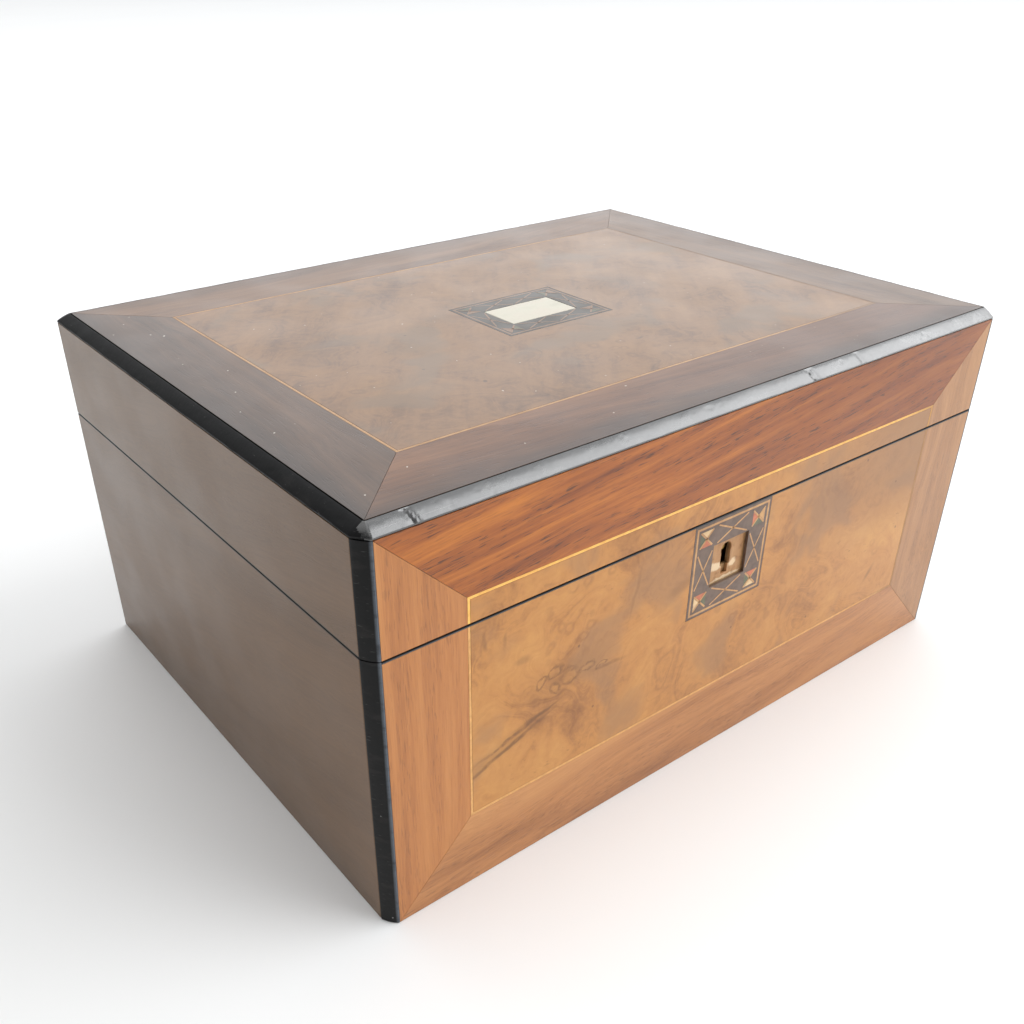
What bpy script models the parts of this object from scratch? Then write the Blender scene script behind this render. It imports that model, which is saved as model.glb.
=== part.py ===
"""A lockable walnut work box: veneered case and lid, ebonised edges, inlaid front and top, brass fittings.

Frame: the origin is the centre of the case's base face. +X is to the right, +Y to the back and +Z up.
"""
import math

import bmesh
import bpy
from mathutils import Matrix, Vector

MM = 0.001

# Overall size of the box, and the height at which the lid was sawn free.
WIDTH = 305 * MM
DEPTH = 230 * MM
HEIGHT = 151 * MM
SEAM = 108 * MM
SEAM_GAP = 0.4 * MM

# Carcass.
WALL = 10 * MM
VENEER = 1.2 * MM
GLUE_LINE = 0.1 * MM
REST_GAP = 0.3 * MM
BASE_THICKNESS = 6.5 * MM
TOP_THICKNESS = 6.5 * MM

# Ebonised edges.
STRIP_FRONT = 4.1 * MM
STRIP_SIDE = 5.3 * MM
CHAMFER_FRONT = 3.6 * MM
CHAMFER_SIDE = 4.7 * MM
BEAD_WIDTH = 4.7 * MM
BEAD_DROP = 4.0 * MM
BEAD_ARC_STEPS = 8
EDGING_HEIGHT = 0.7 * MM
STRIP_SWELL = 0.35 * MM
BEAD_LIP = 0.3 * MM
BEAD_LEAST_CHAMFER = 0.2 * MM
BAND_CORNER_CUT = 1.2 * MM

# Boxwood stringing.
STRING_WIDTH = 0.9 * MM
TOP_STRING_INSET = 35.1 * MM
FRONT_STRING_SIDE = 34.8 * MM
FRONT_STRING_TOP = 33.9 * MM
FRONT_STRING_BASE = 31.3 * MM

# Escutcheon and cartouche.
ESCUTCHEON = (40.2 * MM, 38.6 * MM)
ESCUTCHEON_OPENING = (18.8 * MM, 17.6 * MM)
PLATE_RECESS = 1.4 * MM
PLATE_THICKNESS = 1.2 * MM
CARTOUCHE = (52.5 * MM, 40.5 * MM)
PEARL = (32.8 * MM, 19.0 * MM)
KEY_PIVOT_HEIGHT = 91.7 * MM
KEYHOLE_OFFSET = -0.5 * MM
KEYHOLE_HEAD_RADIUS = 2.75 * MM
KEYHOLE_SLOT_WIDTH = 4.9 * MM
KEYHOLE_DROP = 6.9 * MM
KEYHOLE_FOOT_WIDTH = 3.2 * MM
KEYHOLE_FOOT_DROP = 10.3 * MM

# Box lock, let into the back of the case front.
LOCK_HALF_WIDTH = 25.5 * MM
LOCK_BODY_HALF_WIDTH = 20 * MM
LOCK_HEIGHT = 28.6 * MM
LOCK_LEDGE = 2 * MM
LOCK_SHEET = 1.2 * MM
LOCK_WALL = 0.9 * MM
LOCK_BODY_DEPTH = 6.0 * MM
LOCK_SCREW_X = 22.6 * MM
LOCK_SCREW_DROP = 18.6 * MM
LOCK_SCREW_LENGTH = 5.5 * MM
DRILL_PIN_RADIUS = 1.1 * MM
STUD_RADIUS = 0.95 * MM
STUD_X = -12 * MM
STUD_DROP = 12 * MM
STUD_PROUD = 0.5 * MM
LUG_SLOT_SPARE = 0.7 * MM
BOLT_THICKNESS = 2.2 * MM
BOLT_TRAVEL = 4 * MM
BOLT_TAIL = (-14.2 * MM, -5 * MM)
BOLT_NOTCH = (-1.9 * MM, 3.1 * MM)
BOLT_NOTCH_RISE = 1.2 * MM
POST_WIDTH = 2.4 * MM
FINGER_LENGTH = 4 * MM
FINGER_GAP = 0.4 * MM
LUG_STEM = 2.6 * MM
LUG_TOE = 3.9 * MM
LUG_CENTRES = (-10 * MM, 6 * MM)
LINK_HALF_WIDTH = 20 * MM
LINK_SCREW_X = 16.6 * MM
LINK_AHEAD = 2.0 * MM
LINK_BEHIND = 0.6 * MM
LINK_SCREW_TURN = 0.5
LOCK_SCREW_TURNS = {"left": 0.1, "right": 0.7}
SPRING_THICKNESS = 0.35 * MM
SPRING_BOW = 0.7 * MM
SPRING_LEFT = -17.5 * MM
SPRING_LENGTH = 33 * MM

# Levels in the lock, measured down from the top of the case.
FINGER_LEVELS = (4.6 * MM, 2.2 * MM)
LUG_TOE_LEVELS = (7.0 * MM, 5.0 * MM)
BOLT_BAR_LEVELS = (10.2 * MM, 7.4 * MM)
BOLT_TAIL_LEVEL = 14 * MM
SPRING_LEVELS = (9.6 * MM, 7.8 * MM)

# Butt hinges.
HINGE_CENTRES = {"left": -80 * MM, "right": 80 * MM}
HINGE_LENGTH = 32 * MM
HINGE_LEAF_DEPTH = 8 * MM
HINGE_LEAF = 1.1 * MM
HINGE_AXIS_OUT = 0.8 * MM
KNUCKLE_RADIUS = 2.2 * MM
KNUCKLES = 5
KNUCKLE_GAP = 0.2 * MM
PIN_RADIUS = 1.0 * MM
PIN_CLEARANCE = 0.08 * MM
HINGE_SCREW_SPREAD = 10 * MM
HINGE_SCREW_INSET = 4.6 * MM
HINGE_SCREW_TURN = 0.6
HINGE_SCREW_TURN_MORE = 0.2
HINGE_PIN_SHORT = 0.2 * MM

# Linings: how far the pads stay from the walls, and their thicknesses.
LINING_CLEARANCE = 1.2 * MM
FLOOR_LINING = 3 * MM
LID_LINING = 6 * MM

# Countersunk wood screws.
SCREW_HEAD_RADIUS = 2.0 * MM
SCREW_SHANK_RADIUS = 0.9 * MM
SCREW_LENGTH = 6.5 * MM
SCREW_RIM = 0.12 * MM
SCREW_RIM_TAPER = 0.05 * MM
SCREW_TIP_LENGTH = 1.5 * MM
SCREW_TIP_RADIUS = 0.15 * MM
SCREW_SLOT = 0.45 * MM
SCREW_SLOT_DEPTH = 0.45 * MM
SCREW_CONE_SPARE = 0.06 * MM
ROUND_STEPS = 16
SLIM_PIN_STEPS = 12
SMOOTH_ANGLE = math.radians(35)

# Faces that the rest is measured from.
LEFT = -WIDTH / 2
RIGHT = WIDTH / 2
FRONT = -DEPTH / 2
BACK = DEPTH / 2
CASE_TOP = SEAM - SEAM_GAP / 2
LID_BASE = SEAM + SEAM_GAP / 2
BOARD_FRONT = FRONT + VENEER + GLUE_LINE
BOARD_TOP = HEIGHT - VENEER - GLUE_LINE
INNER_FRONT = FRONT + WALL
HINGE_AXIS_Y = BACK + HINGE_AXIS_OUT
VENEER_BASE = REST_GAP
OVERSHOOT = 2 * MM
PLATE_FRONT = FRONT + PLATE_RECESS
PLATE_BACK = PLATE_FRONT + PLATE_THICKNESS
LOCK_PLATE_FRONT = INNER_FRONT - LOCK_SHEET
LOCK_BODY_FRONT = INNER_FRONT - LOCK_BODY_DEPTH
SELVEDGE_BASE = CASE_TOP - LOCK_SHEET
BOLT_BACK = LOCK_PLATE_FRONT - REST_GAP
BOLT_FRONT = BOLT_BACK - BOLT_THICKNESS
LOCK_BASE = CASE_TOP - LOCK_HEIGHT
BOLT_BAR_BASE = CASE_TOP - BOLT_BAR_LEVELS[0]
BOLT_BAR_TOP = CASE_TOP - BOLT_BAR_LEVELS[1]
ESCUTCHEON_TOP = CASE_TOP - EDGING_HEIGHT - GLUE_LINE
FRONT_EDGE = LEFT + STRIP_FRONT + GLUE_LINE
LEAF_FACE = 1.5 * GLUE_LINE
BITE = 0.3 * MM

FINISHES = {
    "walnut_side": ((0.23, 0.15, 0.10), 0.35, 0.0),
    "walnut_band": ((0.42, 0.20, 0.09), 0.30, 0.0),
    "burr_walnut": ((0.50, 0.28, 0.13), 0.30, 0.0),
    "carcass_wood": ((0.45, 0.30, 0.17), 0.60, 0.0),
    "boxwood": ((0.78, 0.50, 0.22), 0.35, 0.0),
    "ebonised_wood": ((0.03, 0.03, 0.03), 0.30, 0.0),
    "inlay_banding": ((0.20, 0.15, 0.12), 0.35, 0.0),
    "plate_wood": ((0.68, 0.47, 0.28), 0.50, 0.0),
    "pearl": ((0.85, 0.82, 0.72), 0.20, 0.0),
    "brass": ((0.72, 0.52, 0.22), 0.35, 1.0),
    "steel": ((0.45, 0.44, 0.42), 0.40, 1.0),
    "lining_cloth": ((0.20, 0.08, 0.16), 0.90, 0.0),
}


def clear_scene():
    for old in list(bpy.data.objects):
        bpy.data.objects.remove(old, do_unlink=True)


def finish_material(name):
    """The Principled material of one finish, made once."""
    found = bpy.data.materials.get(name)
    if found:
        return found
    colour, roughness, metallic = FINISHES[name]
    made = bpy.data.materials.new(name)
    made.use_nodes = True
    shader = made.node_tree.nodes["Principled BSDF"]
    shader.inputs["Base Color"].default_value = (*colour, 1.0)
    shader.inputs["Roughness"].default_value = roughness
    shader.inputs["Metallic"].default_value = metallic
    return made


def mesh_object(name, solid):
    """An object whose origin is the middle of its shape, from a solid drawn where it stands."""
    bmesh.ops.recalc_face_normals(solid, faces=solid.faces)
    corners = [vert.co for vert in solid.verts]
    low = Vector([min(corner[axis] for corner in corners) for axis in range(3)])
    high = Vector([max(corner[axis] for corner in corners) for axis in range(3)])
    middle = (low + high) / 2
    bmesh.ops.translate(solid, vec=-middle, verts=solid.verts)
    mesh = bpy.data.meshes.new(name)
    solid.to_mesh(mesh)
    solid.free()
    made = bpy.data.objects.new(name, mesh)
    made.location = middle
    bpy.context.scene.collection.objects.link(made)
    return made


def add_part(name, solid, finish, mover=None, rounded=False):
    """One named piece. A piece that moves hangs from its mover, an empty on the joint's axis."""
    made = mesh_object(name, solid)
    made.data.materials.append(finish_material(finish))
    if rounded:
        made.data.shade_smooth()
        made.data.set_sharp_from_angle(angle=SMOOTH_ANGLE)
    if mover:
        made.parent = mover
        made.location -= mover.location
    return made


def add_mover(name, location):
    mover = bpy.data.objects.new(name, None)
    mover.location = location
    mover.empty_display_size = 20 * MM
    bpy.context.scene.collection.objects.link(mover)
    return mover


def cut(part, solid):
    """Takes a solid away from a part, with a hidden cutter."""
    cutter = mesh_object("cutter_" + part.name, solid)
    cutter.hide_render = True
    cutter.display_type = "WIRE"
    step = part.modifiers.new("cut", "BOOLEAN")
    step.operation = "DIFFERENCE"
    step.solver = "EXACT"
    step.object = cutter


def add_on(part, solid):
    """Joins a solid to a part, with a hidden helper shape."""
    helper = mesh_object("join_" + part.name, solid)
    helper.hide_render = True
    helper.display_type = "WIRE"
    step = part.modifiers.new("join", "BOOLEAN")
    step.operation = "UNION"
    step.solver = "EXACT"
    step.object = helper


def prism(outline, low, high, along="Z"):
    """A closed outline pushed from low to high. Along Z it is drawn in X and Y, along Y in X and Z."""
    solid = bmesh.new()
    place = {
        "Z": lambda a, b, c: (a, b, c),
        "Y": lambda a, b, c: (a, c, b),
        "X": lambda a, b, c: (c, a, b),
    }[along]
    bottom = [solid.verts.new(place(a, b, low)) for a, b in outline]
    top = [solid.verts.new(place(a, b, high)) for a, b in outline]
    solid.faces.new(bottom)
    solid.faces.new(top)
    for index in range(len(outline)):
        after = (index + 1) % len(outline)
        solid.faces.new((bottom[index], bottom[after], top[after], top[index]))
    return solid


def block(x_range, y_range, z_range):
    (x0, x1), (y0, y1), (z0, z1) = x_range, y_range, z_range
    return prism([(x0, y0), (x1, y0), (x1, y1), (x0, y1)], z0, z1)


def window_frame(outer, inner, low, high, along="Z"):
    """A frame with an opening. outer and inner are (x0, x1, b0, b1) rectangles."""
    solid = bmesh.new()

    def ring(rectangle, level):
        x0, x1, b0, b1 = rectangle
        corners = [(x0, b0), (x1, b0), (x1, b1), (x0, b1)]
        if along == "Z":
            return [solid.verts.new((a, b, level)) for a, b in corners]
        return [solid.verts.new((a, level, b)) for a, b in corners]

    loops = [ring(outer, low), ring(outer, high), ring(inner, high), ring(inner, low)]
    for index, loop in enumerate(loops):
        following = loops[(index + 1) % len(loops)]
        for corner in range(4):
            after = (corner + 1) % 4
            solid.faces.new((loop[corner], loop[after], following[after], following[corner]))
    return solid


def turned(profile, steps=ROUND_STEPS):
    """A solid turned about Z. The profile is (radius, height) pairs, from the bottom to the top."""
    solid = bmesh.new()
    rings = []
    for radius, height in profile:
        ring = []
        for step in range(steps):
            angle = 2 * math.pi * step / steps
            ring.append(solid.verts.new((radius * math.cos(angle), radius * math.sin(angle), height)))
        rings.append(ring)
    for lower, upper in zip(rings, rings[1:]):
        for step in range(steps):
            after = (step + 1) % steps
            solid.faces.new((lower[step], lower[after], upper[after], upper[step]))
    solid.faces.new(rings[0])
    solid.faces.new(rings[-1])
    return solid


def turned_towards(profile, direction, place, steps=ROUND_STEPS):
    """A turned solid whose own +Z points along direction, moved to place."""
    solid = turned(profile, steps)
    turn = Vector((0, 0, 1)).rotation_difference(Vector(direction)).to_matrix().to_4x4()
    bmesh.ops.transform(solid, matrix=Matrix.Translation(place) @ turn, verts=solid.verts)
    return solid


def rod(radius, low, high, direction, place, steps=ROUND_STEPS):
    return turned_towards([(radius, low), (radius, high)], direction, place, steps)


# Carcass ------------------------------------------------------------------------------------------


def front_board_plan():
    """Front wall in plan, behind the veneer: stepped for the corner strips, then mitred."""
    step = FRONT + STRIP_SIDE + GLUE_LINE
    return [
        (FRONT_EDGE, BOARD_FRONT),
        (-FRONT_EDGE, BOARD_FRONT),
        (-FRONT_EDGE, step),
        (RIGHT - WALL, INNER_FRONT),
        (LEFT + WALL, INNER_FRONT),
        (FRONT_EDGE, step),
    ]


def back_board_plan():
    return [
        (LEFT, BACK),
        (LEFT + WALL, BACK - WALL),
        (RIGHT - WALL, BACK - WALL),
        (RIGHT, BACK),
    ]


def side_board_plan(side):
    """Side wall in plan: side is -1 for the left wall and 1 for the right."""
    step = FRONT + STRIP_SIDE + GLUE_LINE
    gap = GLUE_LINE * math.sqrt(2)
    outer = side * RIGHT
    inner = side * (RIGHT - WALL)
    return [
        (outer, step),
        (side * (gap - FRONT_EDGE), step),
        (inner, INNER_FRONT + gap),
        (inner, BACK - WALL - gap),
        (outer, BACK - gap),
    ]


def corner_strip_plan(side):
    """Corner strip in plan: a square strip whose outer edge is a chamfer with a slight swell."""
    corner_x = side * RIGHT
    swell_steps = 6
    inner_x = corner_x - side * STRIP_FRONT
    outline = [(inner_x, FRONT), (inner_x, FRONT + STRIP_SIDE), (corner_x, FRONT + STRIP_SIDE)]
    for step in range(swell_steps + 1):
        share = step / swell_steps
        bulge = STRIP_SWELL * math.sin(math.pi * share) * math.sqrt(0.5)
        across = CHAMFER_FRONT * share - bulge
        along = CHAMFER_SIDE * (1 - share) - bulge
        outline.append((corner_x - side * across, FRONT + along))
    return outline


def add_case_boards():
    inside_x = WIDTH / 2 - WALL - GLUE_LINE
    inside_y = DEPTH / 2 - WALL - GLUE_LINE
    base = block((-inside_x, inside_x), (-inside_y, inside_y), (0, BASE_THICKNESS))
    add_part("case_base_board", base, "carcass_wood")
    front = add_part("case_front_board", prism(front_board_plan(), 0, CASE_TOP), "carcass_wood")
    back = add_part("case_back_board", prism(back_board_plan(), 0, CASE_TOP), "walnut_side")
    add_part("case_left_board", prism(side_board_plan(-1), 0, CASE_TOP), "walnut_side")
    add_part("case_right_board", prism(side_board_plan(1), 0, CASE_TOP), "walnut_side")
    return front, back


def rebate_for_bead(board):
    """Takes the top outer edge off a lid wall, where the edge moulding sits."""
    reach = WIDTH
    inner_x = RIGHT - BEAD_WIDTH - GLUE_LINE
    inner_y = BACK - BEAD_WIDTH - GLUE_LINE
    level = HEIGHT - BEAD_DROP - GLUE_LINE
    above = HEIGHT + OVERSHOOT
    outside = (-reach, reach, -reach, reach)
    kept = (-inner_x, inner_x, -inner_y, inner_y)
    cut(board, window_frame(outside, kept, level, above))


def add_lid_boards(mover):
    walls = {
        "lid_front_board": (front_board_plan(), "carcass_wood"),
        "lid_back_board": (back_board_plan(), "walnut_side"),
        "lid_left_board": (side_board_plan(-1), "walnut_side"),
        "lid_right_board": (side_board_plan(1), "walnut_side"),
    }
    made = {}
    for name, (plan, finish) in walls.items():
        made[name] = add_part(name, prism(plan, LID_BASE, BOARD_TOP), finish, mover)
        rebate_for_bead(made[name])
    inside_x = WIDTH / 2 - WALL - GLUE_LINE
    inside_y = DEPTH / 2 - WALL - GLUE_LINE
    top = block((-inside_x, inside_x), (-inside_y, inside_y), (BOARD_TOP - TOP_THICKNESS, BOARD_TOP))
    add_part("lid_top_board", top, "carcass_wood", mover)
    return made["lid_front_board"], made["lid_back_board"]


def add_corner_strips(mover):
    lid_top = HEIGHT - BEAD_DROP - GLUE_LINE
    for side, word in ((-1, "left"), (1, "right")):
        plan = corner_strip_plan(side)
        case_strip = prism(plan, VENEER_BASE, CASE_TOP)
        add_part(f"case_corner_strip_{word}", case_strip, "ebonised_wood", rounded=True)
        lid_strip = prism(plan, LID_BASE, lid_top)
        add_part(f"lid_corner_strip_{word}", lid_strip, "ebonised_wood", mover, rounded=True)


def bead_profile():
    """Edge moulding in section: (inset, drop) pairs, from its lower outer edge over the round and back."""
    profile = []
    for step in range(BEAD_ARC_STEPS + 1):
        angle = math.pi / 2 * step / BEAD_ARC_STEPS
        inset = (BEAD_WIDTH - BEAD_LIP) * (1 - math.cos(angle))
        drop = (BEAD_DROP - BEAD_LIP) * (1 - math.sin(angle))
        profile.append((inset, drop))
    profile.append((BEAD_WIDTH, 0))
    profile.append((BEAD_WIDTH, BEAD_DROP))
    profile.append((0, BEAD_DROP))
    return profile


def add_edge_bead(mover):
    """The mitred ring of edge moulding. Its two front corners carry on the corner strips' chamfer."""
    solid = bmesh.new()
    loops = []
    for inset, drop in bead_profile():
        left_over = 1 - inset / BEAD_WIDTH
        chamfer_x = max(CHAMFER_FRONT * left_over, BEAD_LEAST_CHAMFER)
        chamfer_y = max(CHAMFER_SIDE * left_over, BEAD_LEAST_CHAMFER)
        half_x = RIGHT - inset
        half_y = BACK - inset
        plan = [
            (half_x, half_y),
            (-half_x, half_y),
            (-half_x, -half_y + chamfer_y),
            (-half_x + chamfer_x, -half_y),
            (half_x - chamfer_x, -half_y),
            (half_x, -half_y + chamfer_y),
        ]
        loops.append([solid.verts.new((x, y, HEIGHT - drop)) for x, y in plan])
    for index, loop in enumerate(loops):
        following = loops[(index + 1) % len(loops)]
        for corner in range(len(loop)):
            after = (corner + 1) % len(loop)
            solid.faces.new((loop[corner], loop[after], following[after], following[corner]))
    add_part("lid_edge_bead", solid, "ebonised_wood", mover, rounded=True)


# Veneers on the front -----------------------------------------------------------------------------


def front_sheet(name, outline, finish, mover=None):
    return add_part(name, prism(outline, FRONT, FRONT + VENEER, along="Y"), finish, mover)


def string_rectangle():
    """Outer edge of the front stringing: (left, right, bottom, top)."""
    half = STRING_WIDTH / 2
    side = FRONT_STRING_SIDE - half
    return LEFT + side, RIGHT - side, FRONT_STRING_BASE - half, HEIGHT - FRONT_STRING_TOP + half


def add_case_front_veneers():
    left, right, bottom, _ = string_rectangle()
    edge = FRONT_EDGE
    top = ESCUTCHEON_TOP
    gap = GLUE_LINE
    mitre = gap * math.sqrt(2)
    side_outline = [
        (edge, VENEER_BASE + mitre),
        (left - gap, bottom - gap + mitre),
        (left - gap, top),
        (edge, top),
    ]
    front_sheet("case_front_left_band", side_outline, "walnut_band")
    mirrored = [(-x, z) for x, z in side_outline]
    front_sheet("case_front_right_band", mirrored, "walnut_band")
    base_outline = [
        (edge, VENEER_BASE), (-edge, VENEER_BASE),
        (right + gap, bottom - gap), (left - gap, bottom - gap),
    ]
    front_sheet("case_front_bottom_band", base_outline, "walnut_band")

    thin = STRING_WIDTH
    string_outline = [
        (left, top), (left, bottom), (right, bottom), (right, top),
        (right - thin, top), (right - thin, bottom + thin), (left + thin, bottom + thin), (left + thin, top),
    ]
    front_sheet("case_front_stringing", string_outline, "boxwood")

    inner = left + thin + gap
    notch = ESCUTCHEON[0] / 2 + gap
    notch_base = top - ESCUTCHEON[1] - gap
    burr_outline = [
        (inner, bottom + thin + gap), (-inner, bottom + thin + gap), (-inner, top), (notch, top),
        (notch, notch_base), (-notch, notch_base), (-notch, top), (inner, top),
    ]
    front_sheet("case_front_burr_veneer", burr_outline, "burr_walnut")
    edging = block((edge, -edge), (FRONT, FRONT + VENEER), (top + gap, CASE_TOP))
    add_part("case_front_edging", edging, "ebonised_wood")


def add_lid_front_veneers(mover):
    left, right, _, string_top = string_rectangle()
    edge = FRONT_EDGE
    gap = GLUE_LINE
    mitre = gap * math.sqrt(2)
    top = HEIGHT - BEAD_DROP - GLUE_LINE
    band_fall = (string_top + gap) - top
    run = left - gap - edge
    side_outline = [
        (edge, LID_BASE), (left - gap, LID_BASE),
        (left - gap, string_top + gap - mitre), (edge, string_top + gap - mitre - band_fall),
    ]
    front_sheet("lid_front_left_band", side_outline, "walnut_band", mover)
    front_sheet("lid_front_right_band", [(-x, z) for x, z in side_outline], "walnut_band", mover)
    top_outline = [
        (edge, top), (edge + run, string_top + gap), (-edge - run, string_top + gap), (-edge, top),
    ]
    front_sheet("lid_front_top_band", top_outline, "walnut_band", mover)

    thin = STRING_WIDTH
    string_outline = [
        (left, LID_BASE), (left + thin, LID_BASE),
        (left + thin, string_top - thin), (right - thin, string_top - thin),
        (right - thin, LID_BASE), (right, LID_BASE), (right, string_top), (left, string_top),
    ]
    front_sheet("lid_front_stringing", string_outline, "boxwood", mover)
    inner = left + thin + gap
    burr = block((inner, -inner), (FRONT, FRONT + VENEER), (LID_BASE, string_top - thin - gap))
    add_part("lid_front_burr_strip", burr, "burr_walnut", mover)


# Veneers on the top -------------------------------------------------------------------------------


def add_top_bands(mover):
    """Four mitred bands between the edge moulding and the stringing."""
    outer_x = RIGHT - BEAD_WIDTH - GLUE_LINE
    outer_y = BACK - BEAD_WIDTH - GLUE_LINE
    inset = TOP_STRING_INSET - STRING_WIDTH / 2 - GLUE_LINE
    inner_x = RIGHT - inset
    inner_y = BACK - inset
    gap = GLUE_LINE * math.sqrt(2)
    low = HEIGHT - VENEER
    for word, side in (("front", -1), ("back", 1)):
        outline = [
            (-outer_x, side * outer_y), (outer_x, side * outer_y),
            (inner_x, side * inner_y), (-inner_x, side * inner_y),
        ]
        band = add_part(f"lid_top_{word}_band", prism(outline, low, HEIGHT), "walnut_band", mover)
        if side < 0:
            clip_for_bead_corner(band)
    for word, side in (("left", -1), ("right", 1)):
        outline = [
            (side * outer_x, -outer_y + gap), (side * outer_x, outer_y - gap),
            (side * inner_x, inner_y - gap), (side * inner_x, -inner_y + gap),
        ]
        band = add_part(f"lid_top_{word}_band", prism(outline, low, HEIGHT), "walnut_band", mover)
        clip_for_bead_corner(band)


def clip_for_bead_corner(band):
    """Blunts the sharp front corners of a band, where the edge moulding's inner corner is cut."""
    reach = BAND_CORNER_CUT
    corner_y = FRONT + BEAD_WIDTH
    for side in (-1, 1):
        corner_x = side * (RIGHT - BEAD_WIDTH)
        out_x = corner_x + side * reach
        out_y = corner_y - reach
        outline = [(out_x, out_y), (corner_x - side * reach, out_y), (out_x, corner_y + reach)]
        cut(band, prism(outline, HEIGHT - VENEER - OVERSHOOT, HEIGHT + OVERSHOOT))


def top_sheet(outer, inner):
    """A flat frame in the top veneer: outer and inner are (half width, half depth)."""
    (outer_x, outer_y), (inner_x, inner_y) = outer, inner
    outside = (-outer_x, outer_x, -outer_y, outer_y)
    opening = (-inner_x, inner_x, -inner_y, inner_y)
    return window_frame(outside, opening, HEIGHT - VENEER, HEIGHT)


def add_top_inlay(mover):
    half = STRING_WIDTH / 2
    outer_x = RIGHT - TOP_STRING_INSET + half
    outer_y = BACK - TOP_STRING_INSET + half
    inner_x = outer_x - STRING_WIDTH
    inner_y = outer_y - STRING_WIDTH
    string = top_sheet((outer_x, outer_y), (inner_x, inner_y))
    add_part("lid_top_stringing", string, "boxwood", mover)

    burr_x = inner_x - GLUE_LINE
    burr_y = inner_y - GLUE_LINE
    frame_x = CARTOUCHE[0] / 2
    frame_y = CARTOUCHE[1] / 2
    hole_x = frame_x + GLUE_LINE
    hole_y = frame_y + GLUE_LINE
    burr = top_sheet((burr_x, burr_y), (hole_x, hole_y))
    add_part("lid_top_burr_veneer", burr, "burr_walnut", mover)

    pearl_x = PEARL[0] / 2
    pearl_y = PEARL[1] / 2
    seat_x = pearl_x + GLUE_LINE
    seat_y = pearl_y + GLUE_LINE
    frame = top_sheet((frame_x, frame_y), (seat_x, seat_y))
    add_part("cartouche_frame", frame, "inlay_banding", mover)
    pearl = block((-pearl_x, pearl_x), (-pearl_y, pearl_y), (HEIGHT - VENEER, HEIGHT))
    add_part("pearl_plate", pearl, "pearl", mover)


# Escutcheon and keyhole ---------------------------------------------------------------------------


def keyhole(low, high, spare=0.0, with_foot=False):
    """The keyhole as a solid: a round head over a slot, wider by spare, and in the plate a narrow foot."""
    radius = KEYHOLE_HEAD_RADIUS + spare
    half = KEYHOLE_SLOT_WIDTH / 2 + spare
    sill = KEY_PIVOT_HEIGHT - KEYHOLE_DROP - spare
    join = math.asin(half / radius)
    steps = 14
    outline = [(KEYHOLE_OFFSET - half, sill)]
    if with_foot:
        toe = KEYHOLE_FOOT_WIDTH / 2
        foot = KEY_PIVOT_HEIGHT - KEYHOLE_FOOT_DROP
        below = ((-toe, sill), (-toe, foot), (toe, foot), (toe, sill))
        outline += [(KEYHOLE_OFFSET + x, z) for x, z in below]
    outline.append((KEYHOLE_OFFSET + half, sill))
    for step in range(steps + 1):
        angle = -math.pi / 2 + join + (2 * math.pi - 2 * join) * step / steps
        x = KEYHOLE_OFFSET + radius * math.cos(angle)
        outline.append((x, KEY_PIVOT_HEIGHT + radius * math.sin(angle)))
    return prism(outline, low, high, along="Y")


def add_escutcheon(front_board):
    centre = ESCUTCHEON_TOP - ESCUTCHEON[1] / 2
    half_x, half_z = ESCUTCHEON[0] / 2, ESCUTCHEON[1] / 2
    open_x, open_z = ESCUTCHEON_OPENING[0] / 2, ESCUTCHEON_OPENING[1] / 2
    outer = (-half_x, half_x, centre - half_z, centre + half_z)
    inner = (-open_x, open_x, centre - open_z, centre + open_z)
    frame = window_frame(outer, inner, FRONT, FRONT + VENEER, along="Y")
    add_part("escutcheon_frame", frame, "inlay_banding")
    plate_x = open_x - GLUE_LINE
    plate_z = open_z - GLUE_LINE
    plate = block((-plate_x, plate_x), (PLATE_FRONT, PLATE_BACK), (centre - plate_z, centre + plate_z))
    plate = add_part("escutcheon_plate", plate, "plate_wood")
    cut(plate, keyhole(PLATE_FRONT - OVERSHOOT, PLATE_BACK + OVERSHOOT, with_foot=True))
    seat_back = PLATE_BACK + GLUE_LINE
    cut(front_board, block((-open_x, open_x), (BOARD_FRONT - OVERSHOOT, seat_back), (inner[2], inner[3])))
    cut(front_board, keyhole(BOARD_FRONT, LOCK_PLATE_FRONT, REST_GAP))


# Lock ---------------------------------------------------------------------------------------------


def mortise_lock(front_board):
    """Lets the lock's back plate, body and selvedge into the case front, from behind."""
    spare = REST_GAP
    behind = INNER_FRONT + OVERSHOOT
    above = CASE_TOP + OVERSHOOT
    wide = LOCK_HALF_WIDTH + GLUE_LINE
    body = LOCK_BODY_HALF_WIDTH + spare
    outline = [(-wide, LOCK_BASE - GLUE_LINE), (wide, LOCK_BASE - GLUE_LINE), (wide, above), (-wide, above)]
    cut(front_board, prism(outline, LOCK_PLATE_FRONT - GLUE_LINE, behind, along="Y"))
    pocket = block((-body, body), (LOCK_BODY_FRONT - spare, behind), (LOCK_BASE + LOCK_LEDGE - spare, above))
    cut(front_board, pocket)
    shelf = block((-wide, wide), (LOCK_BODY_FRONT - spare, behind), (SELVEDGE_BASE - GLUE_LINE, above))
    cut(front_board, shelf)


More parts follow.
